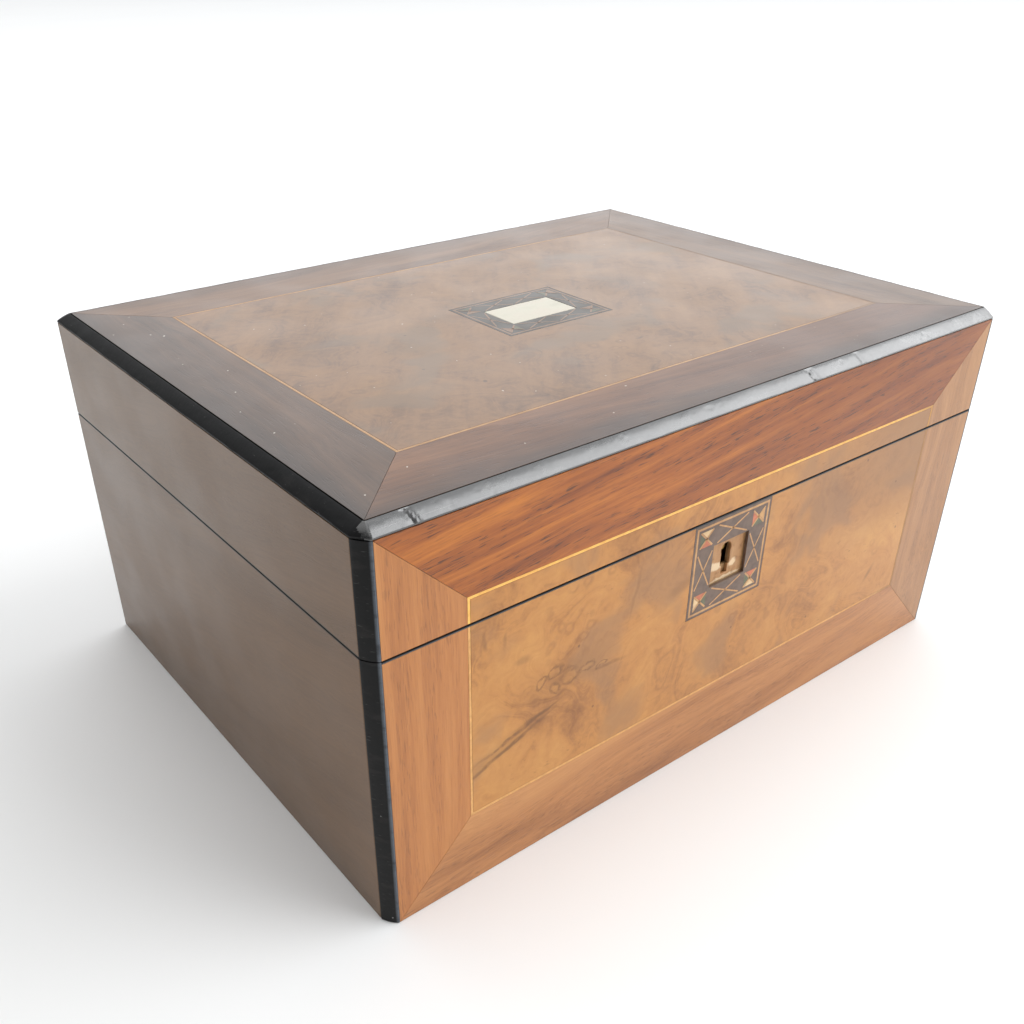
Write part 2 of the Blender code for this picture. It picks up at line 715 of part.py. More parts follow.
def add_lock_case():
    """Back plate, selvedge, side walls, drill pin and stud as one brass casting, open towards the wood."""
    half = LOCK_HALF_WIDTH
    plate = block((-half, half), (LOCK_PLATE_FRONT, INNER_FRONT), (LOCK_BASE, CASE_TOP))
    lock = add_part("lock_case", plate, "brass")
    add_on(lock, block((-half, half), (LOCK_BODY_FRONT, INNER_FRONT - BITE), (SELVEDGE_BASE, CASE_TOP)))
    body = LOCK_BODY_HALF_WIDTH
    floor = LOCK_BASE + LOCK_LEDGE
    roof = SELVEDGE_BASE + BITE
    outline = [
        (-body, roof), (-body, floor), (body, floor), (body, roof),
        (body - LOCK_WALL, roof), (body - LOCK_WALL, floor + LOCK_WALL),
        (-body + LOCK_WALL, floor + LOCK_WALL), (-body + LOCK_WALL, roof),
    ]
    root = LOCK_PLATE_FRONT + BITE
    add_on(lock, prism(outline, LOCK_BODY_FRONT, root, along="Y"))
    pin_tip = PLATE_BACK + 2 * REST_GAP
    pin_root = (KEYHOLE_OFFSET, root, KEY_PIVOT_HEIGHT)
    add_on(lock, rod(DRILL_PIN_RADIUS, 0, root - pin_tip, (0, -1, 0), pin_root, SLIM_PIN_STEPS))
    stud_tip = BOLT_FRONT - STUD_PROUD
    stud_root = (STUD_X, root, CASE_TOP - STUD_DROP)
    add_on(lock, rod(STUD_RADIUS, 0, root - stud_tip, (0, -1, 0), stud_root, SLIM_PIN_STEPS))
    for centre in LUG_CENTRES:
        low_x = centre - LUG_STEM / 2 - LUG_SLOT_SPARE
        high_x = centre + LUG_STEM / 2 + LUG_TOE + LUG_SLOT_SPARE
        slot = block(
            (low_x, high_x), (BOLT_FRONT - LUG_SLOT_SPARE, BOLT_BACK + REST_GAP - GLUE_LINE),
            (SELVEDGE_BASE - OVERSHOOT / 2, CASE_TOP + OVERSHOOT))
        cut(lock, slot)
    return lock


def add_bolt():
    """Sliding bolt: a bar with a guide tail, two posts with hooked fingers, and a notch for the key."""
    middle_y = (BOLT_FRONT + BOLT_BACK) / 2
    middle_z = (BOLT_BAR_BASE + BOLT_BAR_TOP) / 2
    mover = add_mover("bolt_axis", (KEYHOLE_OFFSET, middle_y, middle_z))
    tail_left, tail_right = BOLT_TAIL
    tail_base = CASE_TOP - BOLT_TAIL_LEVEL
    finger_base, finger_top = (CASE_TOP - level for level in FINGER_LEVELS)
    notch_left, notch_right = BOLT_NOTCH
    notch_top = BOLT_BAR_BASE + BOLT_NOTCH_RISE
    outline = [
        (tail_left, tail_base), (tail_right, tail_base), (tail_right, BOLT_BAR_BASE),
        (notch_left, BOLT_BAR_BASE), (notch_left, notch_top),
        (notch_right, notch_top), (notch_right, BOLT_BAR_BASE),
    ]
    top_edge = []
    for centre in LUG_CENTRES:
        tip = centre + LUG_STEM / 2 + LUG_TOE + FINGER_GAP
        post = tip + FINGER_LENGTH
        top_edge += [
            (post, BOLT_BAR_TOP), (post, finger_base), (tip, finger_base), (tip, finger_top),
            (post + POST_WIDTH, finger_top), (post + POST_WIDTH, BOLT_BAR_TOP),
        ]
    bar_end = top_edge[-1][0]
    outline += [(bar_end, BOLT_BAR_BASE)]
    outline += list(reversed(top_edge))
    outline += [(tail_left, BOLT_BAR_TOP)]
    bolt = add_part("lock_bolt", prism(outline, BOLT_FRONT, BOLT_BACK, along="Y"), "brass", mover)
    radius = STUD_RADIUS + GLUE_LINE
    slot_outline = []
    slot_steps = 6
    for end_x, start in ((STUD_X + BOLT_TRAVEL, -math.pi / 2), (STUD_X, math.pi / 2)):
        for step in range(slot_steps + 1):
            angle = start + math.pi * step / slot_steps
            stud_z = CASE_TOP - STUD_DROP
            slot_outline.append((end_x + radius * math.cos(angle), stud_z + radius * math.sin(angle)))
    cut(bolt, prism(slot_outline, BOLT_FRONT - OVERSHOOT, BOLT_BACK + OVERSHOOT, along="Y"))


def add_lock_spring():
    """A bent flat spring that bears on the bolt's bar from the side of the wood."""
    back = BOLT_FRONT - REST_GAP - SPRING_BOW
    steps = 10
    near = []
    for step in range(steps + 1):
        share = step / steps
        bow = SPRING_BOW * math.sin(math.pi * share) ** 2
        near.append((SPRING_LEFT + SPRING_LENGTH * share, back + bow))
    far = [(x, y - SPRING_THICKNESS) for x, y in reversed(near)]
    low, high = (CASE_TOP - level for level in SPRING_LEVELS)
    add_part("lock_spring", prism(near + far, low, high), "steel", rounded=True)


def screw_solid(direction, place, length=SCREW_LENGTH):
    """Countersunk screw: place is the middle of its head's face, direction is the way it drives in."""
    cone = SCREW_HEAD_RADIUS - SCREW_SHANK_RADIUS
    profile = [
        (SCREW_HEAD_RADIUS, 0), (SCREW_HEAD_RADIUS - SCREW_RIM_TAPER, SCREW_RIM), (SCREW_SHANK_RADIUS, cone),
        (SCREW_SHANK_RADIUS, length - SCREW_TIP_LENGTH), (SCREW_TIP_RADIUS, length),
    ]
    return turned_towards(profile, direction, place)


def screw_hole(direction, place, through, length=SCREW_LENGTH):
    """The space for a screw in the plate and wood it goes through. through adds a little depth at the tip."""
    cone = SCREW_HEAD_RADIUS - SCREW_SHANK_RADIUS
    spare = GLUE_LINE
    profile = [
        (SCREW_HEAD_RADIUS + spare, -OVERSHOOT),
        (SCREW_HEAD_RADIUS + spare, SCREW_RIM),
        (SCREW_SHANK_RADIUS + spare, cone + SCREW_CONE_SPARE),
        (SCREW_SHANK_RADIUS + spare, length + through),
    ]
    return turned_towards(profile, direction, place)


def add_screw(name, direction, place, plates, mover=None, length=SCREW_LENGTH, slot_turn=0.0):
    """A screw, its slot, and its hole in each piece that it goes through."""
    screw = add_part(name, screw_solid(direction, place, length), "brass", mover, rounded=True)
    slot = block(
        (-SCREW_HEAD_RADIUS - OVERSHOOT, SCREW_HEAD_RADIUS + OVERSHOOT),
        (-SCREW_SLOT / 2, SCREW_SLOT / 2),
        (-OVERSHOOT, SCREW_SLOT_DEPTH))
    turn = Vector((0, 0, 1)).rotation_difference(Vector(direction)).to_matrix().to_4x4()
    twist = Matrix.Rotation(slot_turn, 4, "Z")
    bmesh.ops.transform(slot, matrix=Matrix.Translation(place) @ turn @ twist, verts=slot.verts)
    cut(screw, slot)
    for plate in plates:
        cut(plate, screw_hole(direction, place, REST_GAP, length))


def add_lock_screws(lock, front_board):
    for side, word in ((-1, "left"), (1, "right")):
        place = (side * LOCK_SCREW_X, INNER_FRONT, CASE_TOP - LOCK_SCREW_DROP)
        turn = LOCK_SCREW_TURNS[word]
        add_screw(f"lock_screw_{word}", (0, -1, 0), place, (lock, front_board), None, LOCK_SCREW_LENGTH, turn)


def add_link_plate(mover, lid_front):
    """Plate under the lid front, with two hooked lugs that drop through the selvedge's slots."""
    half = LINK_HALF_WIDTH
    front = BOLT_FRONT - LINK_AHEAD
    back = BOLT_BACK + LINK_BEHIND
    top = LID_BASE + LOCK_SHEET
    link = add_part("link_plate", block((-half, half), (front, back), (LID_BASE, top)), "brass", mover)
    tip, toe_top = (CASE_TOP - level for level in LUG_TOE_LEVELS)
    for centre in LUG_CENTRES:
        stem_left = centre - LUG_STEM / 2
        stem_right = centre + LUG_STEM / 2
        outline = [
            (stem_left, tip), (stem_right + LUG_TOE, tip), (stem_right + LUG_TOE, toe_top),
            (stem_right, toe_top), (stem_right, LID_BASE + BITE), (stem_left, LID_BASE + BITE),
        ]
        add_on(link, prism(outline, BOLT_FRONT, BOLT_BACK, along="Y"))
    spare = GLUE_LINE
    recess = block(
        (-half - spare, half + spare), (front - spare, back + spare), (LID_BASE - OVERSHOOT, top + spare))
    cut(lid_front, recess)
    for side, word in ((-1, "left"), (1, "right")):
        place = (side * LINK_SCREW_X, (front + back) / 2, LID_BASE)
        turn = side * LINK_SCREW_TURN
        add_screw(f"link_plate_screw_{word}", (0, 0, 1), place, (link, lid_front), mover, slot_turn=turn)


# Hinges -------------------------------------------------------------------------------------------


def hinge_leaf(name, centre, faces_up, mover):
    """One butt leaf with its knuckles. faces_up is 1 for the lid's leaf and -1 for the case's leaf."""
    half = HINGE_LENGTH / 2
    near = SEAM + faces_up * LEAF_FACE
    far = near + faces_up * HINGE_LEAF
    low, high = min(near, far), max(near, far)
    inner = BACK - HINGE_LEAF_DEPTH
    sheet = block((centre - half, centre + half), (inner, HINGE_AXIS_Y), (low, high))
    leaf = add_part(name, sheet, "brass", mover)
    pitch = HINGE_LENGTH / KNUCKLES
    spare = KNUCKLE_GAP / 2
    for index in range(KNUCKLES):
        start = centre - half + index * pitch
        if (index % 2 == 0) == (faces_up < 0):
            begin = start if index == 0 else start + spare
            end = start + pitch if index == KNUCKLES - 1 else start + pitch - spare
            add_on(leaf, rod(KNUCKLE_RADIUS, begin, end, (1, 0, 0), (0, HINGE_AXIS_Y, SEAM)))
        else:
            clear = KNUCKLE_RADIUS + KNUCKLE_GAP
            cut(leaf, rod(clear, start - spare, start + pitch + spare, (1, 0, 0), (0, HINGE_AXIS_Y, SEAM)))
    reach = half + OVERSHOOT
    bore = PIN_RADIUS + PIN_CLEARANCE
    cut(leaf, rod(bore, centre - reach, centre + reach, (1, 0, 0), (0, HINGE_AXIS_Y, SEAM)))
    return leaf


def recess_for_hinge(board, centre, faces_up):
    """Lets a leaf into the board's seam face, with a deeper notch round the knuckles."""
    half = HINGE_LENGTH / 2 + GLUE_LINE
    depth = SEAM + faces_up * (HINGE_LEAF + 3 * GLUE_LINE)
    open_side = SEAM - faces_up * OVERSHOOT
    low, high = min(depth, open_side), max(depth, open_side)
    cut(board, block(
        (centre - half, centre + half), (BACK - HINGE_LEAF_DEPTH - GLUE_LINE, BACK + OVERSHOOT), (low, high)))
    notch = KNUCKLE_RADIUS + REST_GAP
    depth = SEAM + faces_up * notch
    low, high = min(depth, open_side), max(depth, open_side)
    cut(board, block((centre - half, centre + half), (HINGE_AXIS_Y - notch, BACK + OVERSHOOT), (low, high)))


def add_hinges(mover, case_back, lid_back):
    for word, centre in HINGE_CENTRES.items():
        sides = ((-1, "case", case_back, None), (1, "lid", lid_back, mover))
        for faces_up, owner, board, carrier in sides:
            recess_for_hinge(board, centre, faces_up)
            leaf = hinge_leaf(f"hinge_{word}_{owner}_leaf", centre, faces_up, carrier)
            for number, side in ((1, -1), (2, 1)):
                place = (
                    centre + side * HINGE_SCREW_SPREAD,
                    BACK - HINGE_SCREW_INSET,
                    SEAM + faces_up * LEAF_FACE)
                turn = HINGE_SCREW_TURN * number + faces_up * HINGE_SCREW_TURN_MORE
                name = f"hinge_{word}_{owner}_screw_{number}"
                add_screw(name, (0, 0, faces_up), place, (leaf, board), carrier, slot_turn=turn)
        reach = HINGE_LENGTH / 2 - HINGE_PIN_SHORT
        pin = rod(PIN_RADIUS, centre - reach, centre + reach, (1, 0, 0), (0, HINGE_AXIS_Y, SEAM))
        add_part(f"hinge_{word}_pin", pin, "steel", rounded=True)


# Linings ------------------------------------------------------------------------------------------


def add_linings(mover):
    """Plain solids for the two cloth pads, on the case's floor and under the lid's top."""
    half_x = WIDTH / 2 - WALL - LINING_CLEARANCE
    half_y = DEPTH / 2 - WALL - LINING_CLEARANCE
    floor = BASE_THICKNESS + REST_GAP
    floor_pad = block((-half_x, half_x), (-half_y, half_y), (floor, floor + FLOOR_LINING))
    add_part("floor_lining", floor_pad, "lining_cloth")
    under = BOARD_TOP - TOP_THICKNESS - REST_GAP
    lid_pad = block((-half_x, half_x), (-half_y, half_y), (under - LID_LINING, under))
    add_part("lid_lining", lid_pad, "lining_cloth", mover)


def build():
    clear_scene()
    lid_axis = add_mover("lid_axis", (0, HINGE_AXIS_Y, SEAM))
    case_front, case_back = add_case_boards()
    lid_front, lid_back = add_lid_boards(lid_axis)
    add_corner_strips(lid_axis)
    add_edge_bead(lid_axis)
    add_case_front_veneers()
    add_lid_front_veneers(lid_axis)
    add_top_bands(lid_axis)
    add_top_inlay(lid_axis)
    add_escutcheon(case_front)
    mortise_lock(case_front)
    lock = add_lock_case()
    add_bolt()
    add_lock_spring()
    add_lock_screws(lock, case_front)
    add_link_plate(lid_axis, lid_front)
    add_hinges(lid_axis, case_back, lid_back)
    add_linings(lid_axis)


build()
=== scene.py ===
"""Looks of the lockable walnut work box: veneers, inlay, ebonised edges, lock, hinges and padded linings.

Every length is in millimetres until it reaches Blender, which works in metres.
Frame: the origin is the centre of the case's base face. +X is to the right, +Y to the back and +Z up.
"""
import math

import bmesh
import bpy
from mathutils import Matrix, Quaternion, Vector, noise


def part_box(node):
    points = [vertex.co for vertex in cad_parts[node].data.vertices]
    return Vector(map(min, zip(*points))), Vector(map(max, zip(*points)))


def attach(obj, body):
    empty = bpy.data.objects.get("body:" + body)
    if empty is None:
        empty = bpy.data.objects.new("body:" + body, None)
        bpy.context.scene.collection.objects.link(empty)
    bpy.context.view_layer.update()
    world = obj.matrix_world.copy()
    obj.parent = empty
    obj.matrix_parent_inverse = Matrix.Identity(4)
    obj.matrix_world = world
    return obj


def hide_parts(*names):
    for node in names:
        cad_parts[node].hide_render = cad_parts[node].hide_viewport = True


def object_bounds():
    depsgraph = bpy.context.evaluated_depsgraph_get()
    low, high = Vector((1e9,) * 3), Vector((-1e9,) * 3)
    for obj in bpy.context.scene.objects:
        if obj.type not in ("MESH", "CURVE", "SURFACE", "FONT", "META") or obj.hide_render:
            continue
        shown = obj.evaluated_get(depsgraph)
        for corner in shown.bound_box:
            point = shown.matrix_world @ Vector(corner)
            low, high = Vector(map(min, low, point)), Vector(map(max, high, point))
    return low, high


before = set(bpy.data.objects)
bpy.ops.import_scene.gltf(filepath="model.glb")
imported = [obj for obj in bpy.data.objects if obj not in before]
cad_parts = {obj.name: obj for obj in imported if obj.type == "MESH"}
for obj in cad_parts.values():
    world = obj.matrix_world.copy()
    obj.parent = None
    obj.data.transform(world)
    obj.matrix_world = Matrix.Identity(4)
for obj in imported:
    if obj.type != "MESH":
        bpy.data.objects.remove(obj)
cad_low, cad_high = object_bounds()

MM = 0.001


def span(node):
    """A CAD node's lowest and highest corner, in mm."""
    low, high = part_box(node)
    return low / MM, high / MM


# Driving sizes, read off the frame.
HALF_WIDTH = cad_high.x / MM
FRONT = cad_low.y / MM
HEIGHT = cad_high.z / MM
BACK = span("case_back_board")[1].y
CASE_TOP = span("case_left_board")[1].z
LID_BASE = span("lid_left_board")[0].z
SEAM = (CASE_TOP + LID_BASE) / 2
INNER_FRONT = span("case_front_board")[1].y
INNER_BACK = span("case_back_board")[0].y
INNER_SIDE = span("case_right_board")[0].x
HALF_DEPTH = BACK


# Node trees ---------------------------------------------------------------------------------------


def tone(red, green, blue):
    """A colour as it looks on a screen, 0 to 255, turned into the linear colour that shaders use."""
    linear = []
    for value in (red, green, blue):
        share = value / 255
        linear.append(share / 12.92 if share <= 0.04045 else ((share + 0.055) / 1.055) ** 2.4)
    return (*linear, 1.0)


class Recipe:
    """One material's node tree. Each method adds nodes and gives back the socket that carries the result."""

    def __init__(self, name):
        self.material = bpy.data.materials.new(name)
        self.material.use_nodes = True
        self.tree = self.material.node_tree
        self.shader = self.tree.nodes["Principled BSDF"]
        coordinates = self.tree.nodes.new("ShaderNodeTexCoord").outputs["Object"]
        self.place = self.stretch(coordinates, (1 / MM, 1 / MM, 1 / MM))

    def put(self, source, socket):
        if isinstance(source, bpy.types.NodeSocket):
            self.tree.links.new(source, socket)
        else:
            socket.default_value = source

    def node(self, kind, inputs, **settings):
        made = self.tree.nodes.new(kind)
        for key, value in settings.items():
            setattr(made, key, value)
        for key, source in inputs.items():
            self.put(source, made.inputs[key])
        return made

    def sum(self, operation, first, second=0.0, clamp=False):
        inputs = {0: first, 1: second}
        return self.node("ShaderNodeMath", inputs, operation=operation, use_clamp=clamp).outputs[0]

    def times(self, first, second):
        return self.sum("MULTIPLY", first, second)

    def plus(self, first, second):
        return self.sum("ADD", first, second)

    def split(self, place):
        """The place's X, Y and Z."""
        return self.node("ShaderNodeSeparateXYZ", {0: place}).outputs

    def vector(self, operation, first, second):
        return self.node("ShaderNodeVectorMath", {0: first, 1: second}, operation=operation).outputs[0]

    def stretch(self, place, factors):
        return self.vector("MULTIPLY", place, factors)

    def distance(self, first, second):
        made = self.node("ShaderNodeVectorMath", {0: first, 1: second}, operation="DISTANCE")
        return made.outputs["Value"]

    def laid(self, axes, offset=(0, 0, 0), turn=0.0):
        """The place with its axes in a new order, such as "XZY" for a front drawn in X and Z."""
        parts = self.split(self.place)
        inputs = {index: parts["XYZ".index(axis)] for index, axis in enumerate(axes)}
        joined = self.node("ShaderNodeCombineXYZ", inputs).outputs[0]
        inputs = {"Vector": joined, "Location": offset, "Rotation": (0, 0, math.radians(turn))}
        return self.node("ShaderNodeMapping", inputs).outputs[0]

    def noise(self, place, size, detail=2.0, roughness=0.5, output="Fac"):
        """Noise from 0 to 1 whose features are about size mm across."""
        inputs = {"Vector": place, "Scale": 1 / size, "Detail": detail, "Roughness": roughness}
        return self.node("ShaderNodeTexNoise", inputs).outputs[output]

    def swirl(self, place, size, reach, detail=2.0):
        """The place pushed about by up to about reach mm, in swirls size mm across."""
        push = self.noise(place, size, detail, output="Color")
        centred = self.vector("SUBTRACT", push, (0.5, 0.5, 0.5))
        return self.vector("ADD", place, self.stretch(centred, (reach, reach, reach)))

    def winding(self, field, place, turns):
        """A place for noise that makes streaks along the contour lines of field."""
        parts = self.split(place)
        inputs = {0: self.times(field, turns), 1: self.times(parts[0], 0.03)}
        inputs[2] = self.times(parts[1], 0.03)
        return self.node("ShaderNodeCombineXYZ", inputs).outputs[0]

    def weigh(self, shares):
        """A weighted mix of noises that stays centred on a half. shares are (noise, weight) pairs."""
        total = 0.5
        for value, weight in shares:
            centred = self.sum("SUBTRACT", value, 0.5)
            total = self.plus(self.times(centred, weight), total)
        return total

    def smooth(self, value, low, high, start=0.0, end=1.0):
        """start where value is low, end where it is high, and a smooth step between."""
        inputs = {"Value": value, "From Min": low, "From Max": high, "To Min": start, "To Max": end}
        return self.node("ShaderNodeMapRange", inputs, interpolation_type="SMOOTHSTEP").outputs[0]

    def ramp(self, factor, stops):
        made = self.node("ShaderNodeValToRGB", {0: factor})
        elements = made.color_ramp.elements
        while len(elements) < len(stops):
            elements.new(1.0)
        for element, (position, colour) in zip(elements, stops):
            element.position = position
            element.color = colour
        return made.outputs[0]

    def mix(self, factor, first, second, how="MIX"):
        inputs = {0: factor, 6: first, 7: second}
        return self.node("ShaderNodeMix", inputs, data_type="RGBA", blend_type=how).outputs[2]

    def cells(self, place, size, output="Distance"):
        """Random cells about size mm across: the distance from a cell's middle, or its Color."""
        return self.node("ShaderNodeTexVoronoi", {"Vector": place, "Scale": 1 / size}).outputs[output]

    def dust(self, place, size, share):
        """Scattered specks: about share of the cells, size mm across, hold one."""
        lot = self.node("ShaderNodeSeparateColor", {0: self.cells(place, size, "Color")}).outputs[0]
        chosen = self.smooth(lot, 1 - share, 1 - share + 0.02)
        speck = self.smooth(self.cells(place, size), 0.09, 0.05)
        return self.times(chosen, speck)

    def specked(self, colour, share):
        """The colour with white specks of dust, thickest towards the left."""
        specks = self.dust(self.swirl(self.place, 20, 12), 4.5, share)
        across = self.split(self.place)[0]
        thinning = self.smooth(across, -100, 60, 0.85, 0.3)
        return self.mix(self.times(specks, thinning), colour, DUST)

    def mark(self, place, centre, radii, turn=0.0, soft=0.35):
        """A soft-edged ellipse of 1 on 0, drawn in the first two axes of place."""
        angle = math.radians(turn)
        moved = self.vector("SUBTRACT", place, (*centre, 0))
        inputs = {"Vector": moved, "Rotation": (0, 0, -angle), "Scale": (1, 1, 0)}
        turned = self.node("ShaderNodeMapping", inputs).outputs[0]
        flat = self.stretch(turned, (1 / radii[0], 1 / radii[1], 0))
        return self.smooth(self.distance(flat, (0, 0, 0)), 1 + soft, 1 - soft)

    def bump(self, height, depth, normal=None):
        """A bump depth mm deep where height goes from 0 to 1."""
        inputs = {"Height": height, "Distance": depth * MM}
        if normal is not None:
            inputs["Normal"] = normal
        return self.node("ShaderNodeBump", inputs).outputs[0]

    def finish(self, colour, roughness, normal=None, **constants):
        """Links the three sockets that vary and sets the others. A constant's name has _ for a space."""
        self.put(colour, self.shader.inputs["Base Color"])
        self.put(roughness, self.shader.inputs["Roughness"])
        if normal is not None:
            self.put(normal, self.shader.inputs["Normal"])
        for key, value in constants.items():
            self.shader.inputs[key.replace("_", " ")].default_value = value
        return self.material


PORE = tone(56, 34, 22)
GRIME = tone(40, 28, 22)
DUST = tone(206, 198, 186)
WAX_COAT = {"Coat_Weight": 0.15, "Coat_Roughness": 0.12}
GRAIN_DEPTH = 0.02
# Near-black painted shade along the lid's seam, standing in for its shadow.
SEAM_SHADE = tone(12, 10, 9)

# Woods --------------------------------------------------------------------------------------------


def walnut(name, axes, offset, tones, turn=0.0, sway=9.0, band=9.0, pore=0.45, figure=1.0, painted_shade=None,
           dusty=0.0, grimy=0.0, seam_shade=0.0):
    """Straight-grained walnut. axes gives the grain's direction first. tones go from dark to light.

    painted_shade is (axis, start, end, share): painted shade, the wood darkened by that share from start to
    end along that axis, standing in for light that falls off along it.
    dusty is the share of white specks, and grimy how dark handling has left the lid's rim. seam_shade is how
    dark the wood is painted next to the lid's seam, on the faces that meet there as well as on the outside:
    painted shade for the seam's shadow.
    """
    recipe = Recipe(name)
    place = recipe.laid(axes, offset, turn)
    drift = recipe.noise(recipe.stretch(place, (0.22, 1, 1)), 32, 2)
    drift = recipe.times(recipe.sum("SUBTRACT", drift, 0.5), sway)
    lean = recipe.node("ShaderNodeCombineXYZ", {1: drift, 2: drift}).outputs[0]
    grain = recipe.vector("ADD", place, lean)
    bands = recipe.noise(recipe.stretch(grain, (0.05, 1, 1)), band, 3, 0.55)
    streaks = recipe.noise(recipe.stretch(grain, (0.045, 1, 1)), 1.7, 4, 0.6)
    fibres = recipe.noise(recipe.stretch(grain, (0.04, 1, 1)), 0.45, 2)
    strength = recipe.weigh(((bands, 0.6 * figure), (streaks, 0.32 * figure), (fibres, 0.15)))
    dark, middle, light = tones
    colour = recipe.ramp(strength, [(0.34, dark), (0.5, middle), (0.65, light)])
    # Painted shade: the colour darkens along one axis, standing in for the light falling off.
    if painted_shade:
        axis, start, end, share = painted_shade
        along = recipe.split(recipe.place)[axis]
        colour = recipe.mix(recipe.smooth(along, start, end, 0.0, share), colour, dark)
    pores = recipe.smooth(recipe.noise(recipe.stretch(grain, (0.09, 1, 1)), 0.5, 1), 0.58, 0.68)
    patchy = recipe.smooth(bands, 0.60, 0.42, 0.25, 1.0)
    pores = recipe.times(pores, patchy)
    colour = recipe.mix(recipe.times(pores, pore), colour, PORE)
    if grimy:
        parts = recipe.split(recipe.place)
        out_x = recipe.sum("SUBTRACT", recipe.sum("ABSOLUTE", parts[0]), HALF_WIDTH)
        out_y = recipe.sum("SUBTRACT", recipe.sum("ABSOLUTE", parts[1]), HALF_DEPTH)
        rim = recipe.sum("MAXIMUM", out_x, out_y)
        rim = recipe.plus(rim, recipe.times(recipe.noise(recipe.place, 22, 3), 10))
        colour = recipe.mix(recipe.smooth(rim, -18, 2, 0.0, grimy), colour, GRIME)
    if seam_shade:
        # Painted shade: near black within about a millimetre of the seam, standing in for its shadow.
        up = recipe.split(recipe.place)[2]
        off = recipe.sum("ABSOLUTE", recipe.sum("SUBTRACT", up, SEAM))
        colour = recipe.mix(recipe.smooth(off, 0.8, 0.45, 0.0, seam_shade), colour, SEAM_SHADE)
    if dusty:
        colour = recipe.specked(colour, dusty)
    worn = recipe.noise(place, 30, 2)
    roughness = recipe.smooth(worn, 0.3, 0.7, 0.30, 0.38)
    height = recipe.sum("SUBTRACT", recipe.times(streaks, 0.4), pores)
    return recipe.finish(colour, roughness, recipe.bump(height, GRAIN_DEPTH), **WAX_COAT)


def burr(name, axes, offset, tones, smudges=(), knots=(), dusty=0.0, greyer=None, flame=0.0):
    """Burr walnut: grain that winds round soft clouds, and a few clusters of eyes.

    smudges and knots are in mm in the plane of the first two axes. dusty is the share of white specks.
    greyer is the X range where the wood turns grey. flame is the weight of streaks slanting up to the right.
    """
    recipe = Recipe(name)
    flat = recipe.laid(axes)
    place = recipe.laid(axes, offset)
    swirled = recipe.swirl(recipe.swirl(place, 75, 60), 20, 10, 3)
    field = recipe.noise(swirled, 42, 2)
    cloud = recipe.noise(swirled, 30, 3, 0.5)
    broad = recipe.noise(recipe.winding(field, place, 22), 1, 3, 0.55)
    close = recipe.noise(recipe.winding(field, place, 95), 1, 3, 0.6)
    curl = recipe.noise(recipe.swirl(place, 5, 3), 2.6, 3, 0.6)
    dark, middle, light, grey = tones
    deep = tuple(0.45 * share for share in dark[:3]) + (1.0,)
    strength = recipe.weigh(((broad, 0.24), (cloud, 0.40), (close, 0.14), (curl, 0.17)))
    if flame:
        slanted = recipe.stretch(recipe.laid(axes, offset, -52), (0.16, 1, 1))
        streaks = recipe.noise(recipe.swirl(slanted, 16, 9), 8, 4, 0.6)
        centred = recipe.sum("SUBTRACT", streaks, 0.5)
        strength = recipe.plus(strength, recipe.times(centred, flame))
    colour = recipe.ramp(strength, [(0.33, dark), (0.49, middle), (0.66, light)])
    patch = recipe.smooth(recipe.noise(recipe.swirl(place, 40, 40), 36, 3), 0.52, 0.66, 0.0, 0.65)
    colour = recipe.mix(patch, colour, grey)
    if greyer:
        parts = recipe.split(flat)
        rightward = recipe.smooth(parts[0], *greyer, 0.0, 0.75)
        share = recipe.times(rightward, recipe.smooth(parts[1], 55, 100))
        colour = recipe.mix(share, colour, tuple(0.85 * part for part in grey[:3]) + (1.0,))
    eyes = recipe.cells(recipe.swirl(place, 7, 4), 6.5)
    ring = recipe.times(recipe.smooth(eyes, 0.10, 0.22), recipe.smooth(eyes, 0.42, 0.26))
    here = recipe.smooth(recipe.noise(place, 44, 2), 0.58, 0.66)
    ring = recipe.times(recipe.times(ring, here), 0.3)
    colour = recipe.mix(ring, colour, dark)
    wavy = recipe.swirl(recipe.swirl(flat, 9, 7), 2.6, 3.2)
    gently = recipe.swirl(flat, 8, 3)
    for centre, radii, turn, darkness in smudges:
        soft = recipe.times(recipe.mark(gently, centre, radii, turn, 0.6), darkness)
        soft = recipe.times(soft, recipe.smooth(curl, 0.3, 0.55, 0.55, 1.0))
        colour = recipe.mix(soft, colour, deep)
    for centre, radii, turn in knots:
        outer = recipe.mark(wavy, centre, radii, turn, 0.3)
        inner = recipe.mark(wavy, centre, (radii[0] * 0.6, radii[1] * 0.6), turn, 0.35)
        rim = recipe.sum("SUBTRACT", outer, inner, True)
        rim = recipe.times(rim, recipe.smooth(curl, 0.35, 0.6, 0.15, 0.6))
        colour = recipe.mix(rim, colour, deep)
        colour = recipe.mix(recipe.times(inner, 0.15), colour, light)
    specks = recipe.dust(place, 8, 0.3)
    colour = recipe.mix(recipe.times(specks, 0.45), colour, PORE)
    drawn_out = recipe.stretch(recipe.swirl(place, 12, 6), (0.28, 1, 1))
    flecks = recipe.smooth(recipe.noise(drawn_out, 0.9, 1), 0.66, 0.76)
    flecks = recipe.times(flecks, recipe.smooth(recipe.noise(place, 26, 2), 0.5, 0.64, 0.0, 0.4))
    colour = recipe.mix(flecks, colour, dark)
    worn = recipe.noise(flat, 34, 2)
    roughness = recipe.smooth(worn, 0.3, 0.7, 0.28, 0.36)
    if dusty:
        colour = recipe.specked(colour, dusty)
    height = recipe.weigh(((close, 0.5), (curl, 0.5)))
    return recipe.finish(colour, roughness, recipe.bump(height, GRAIN_DEPTH), **WAX_COAT)


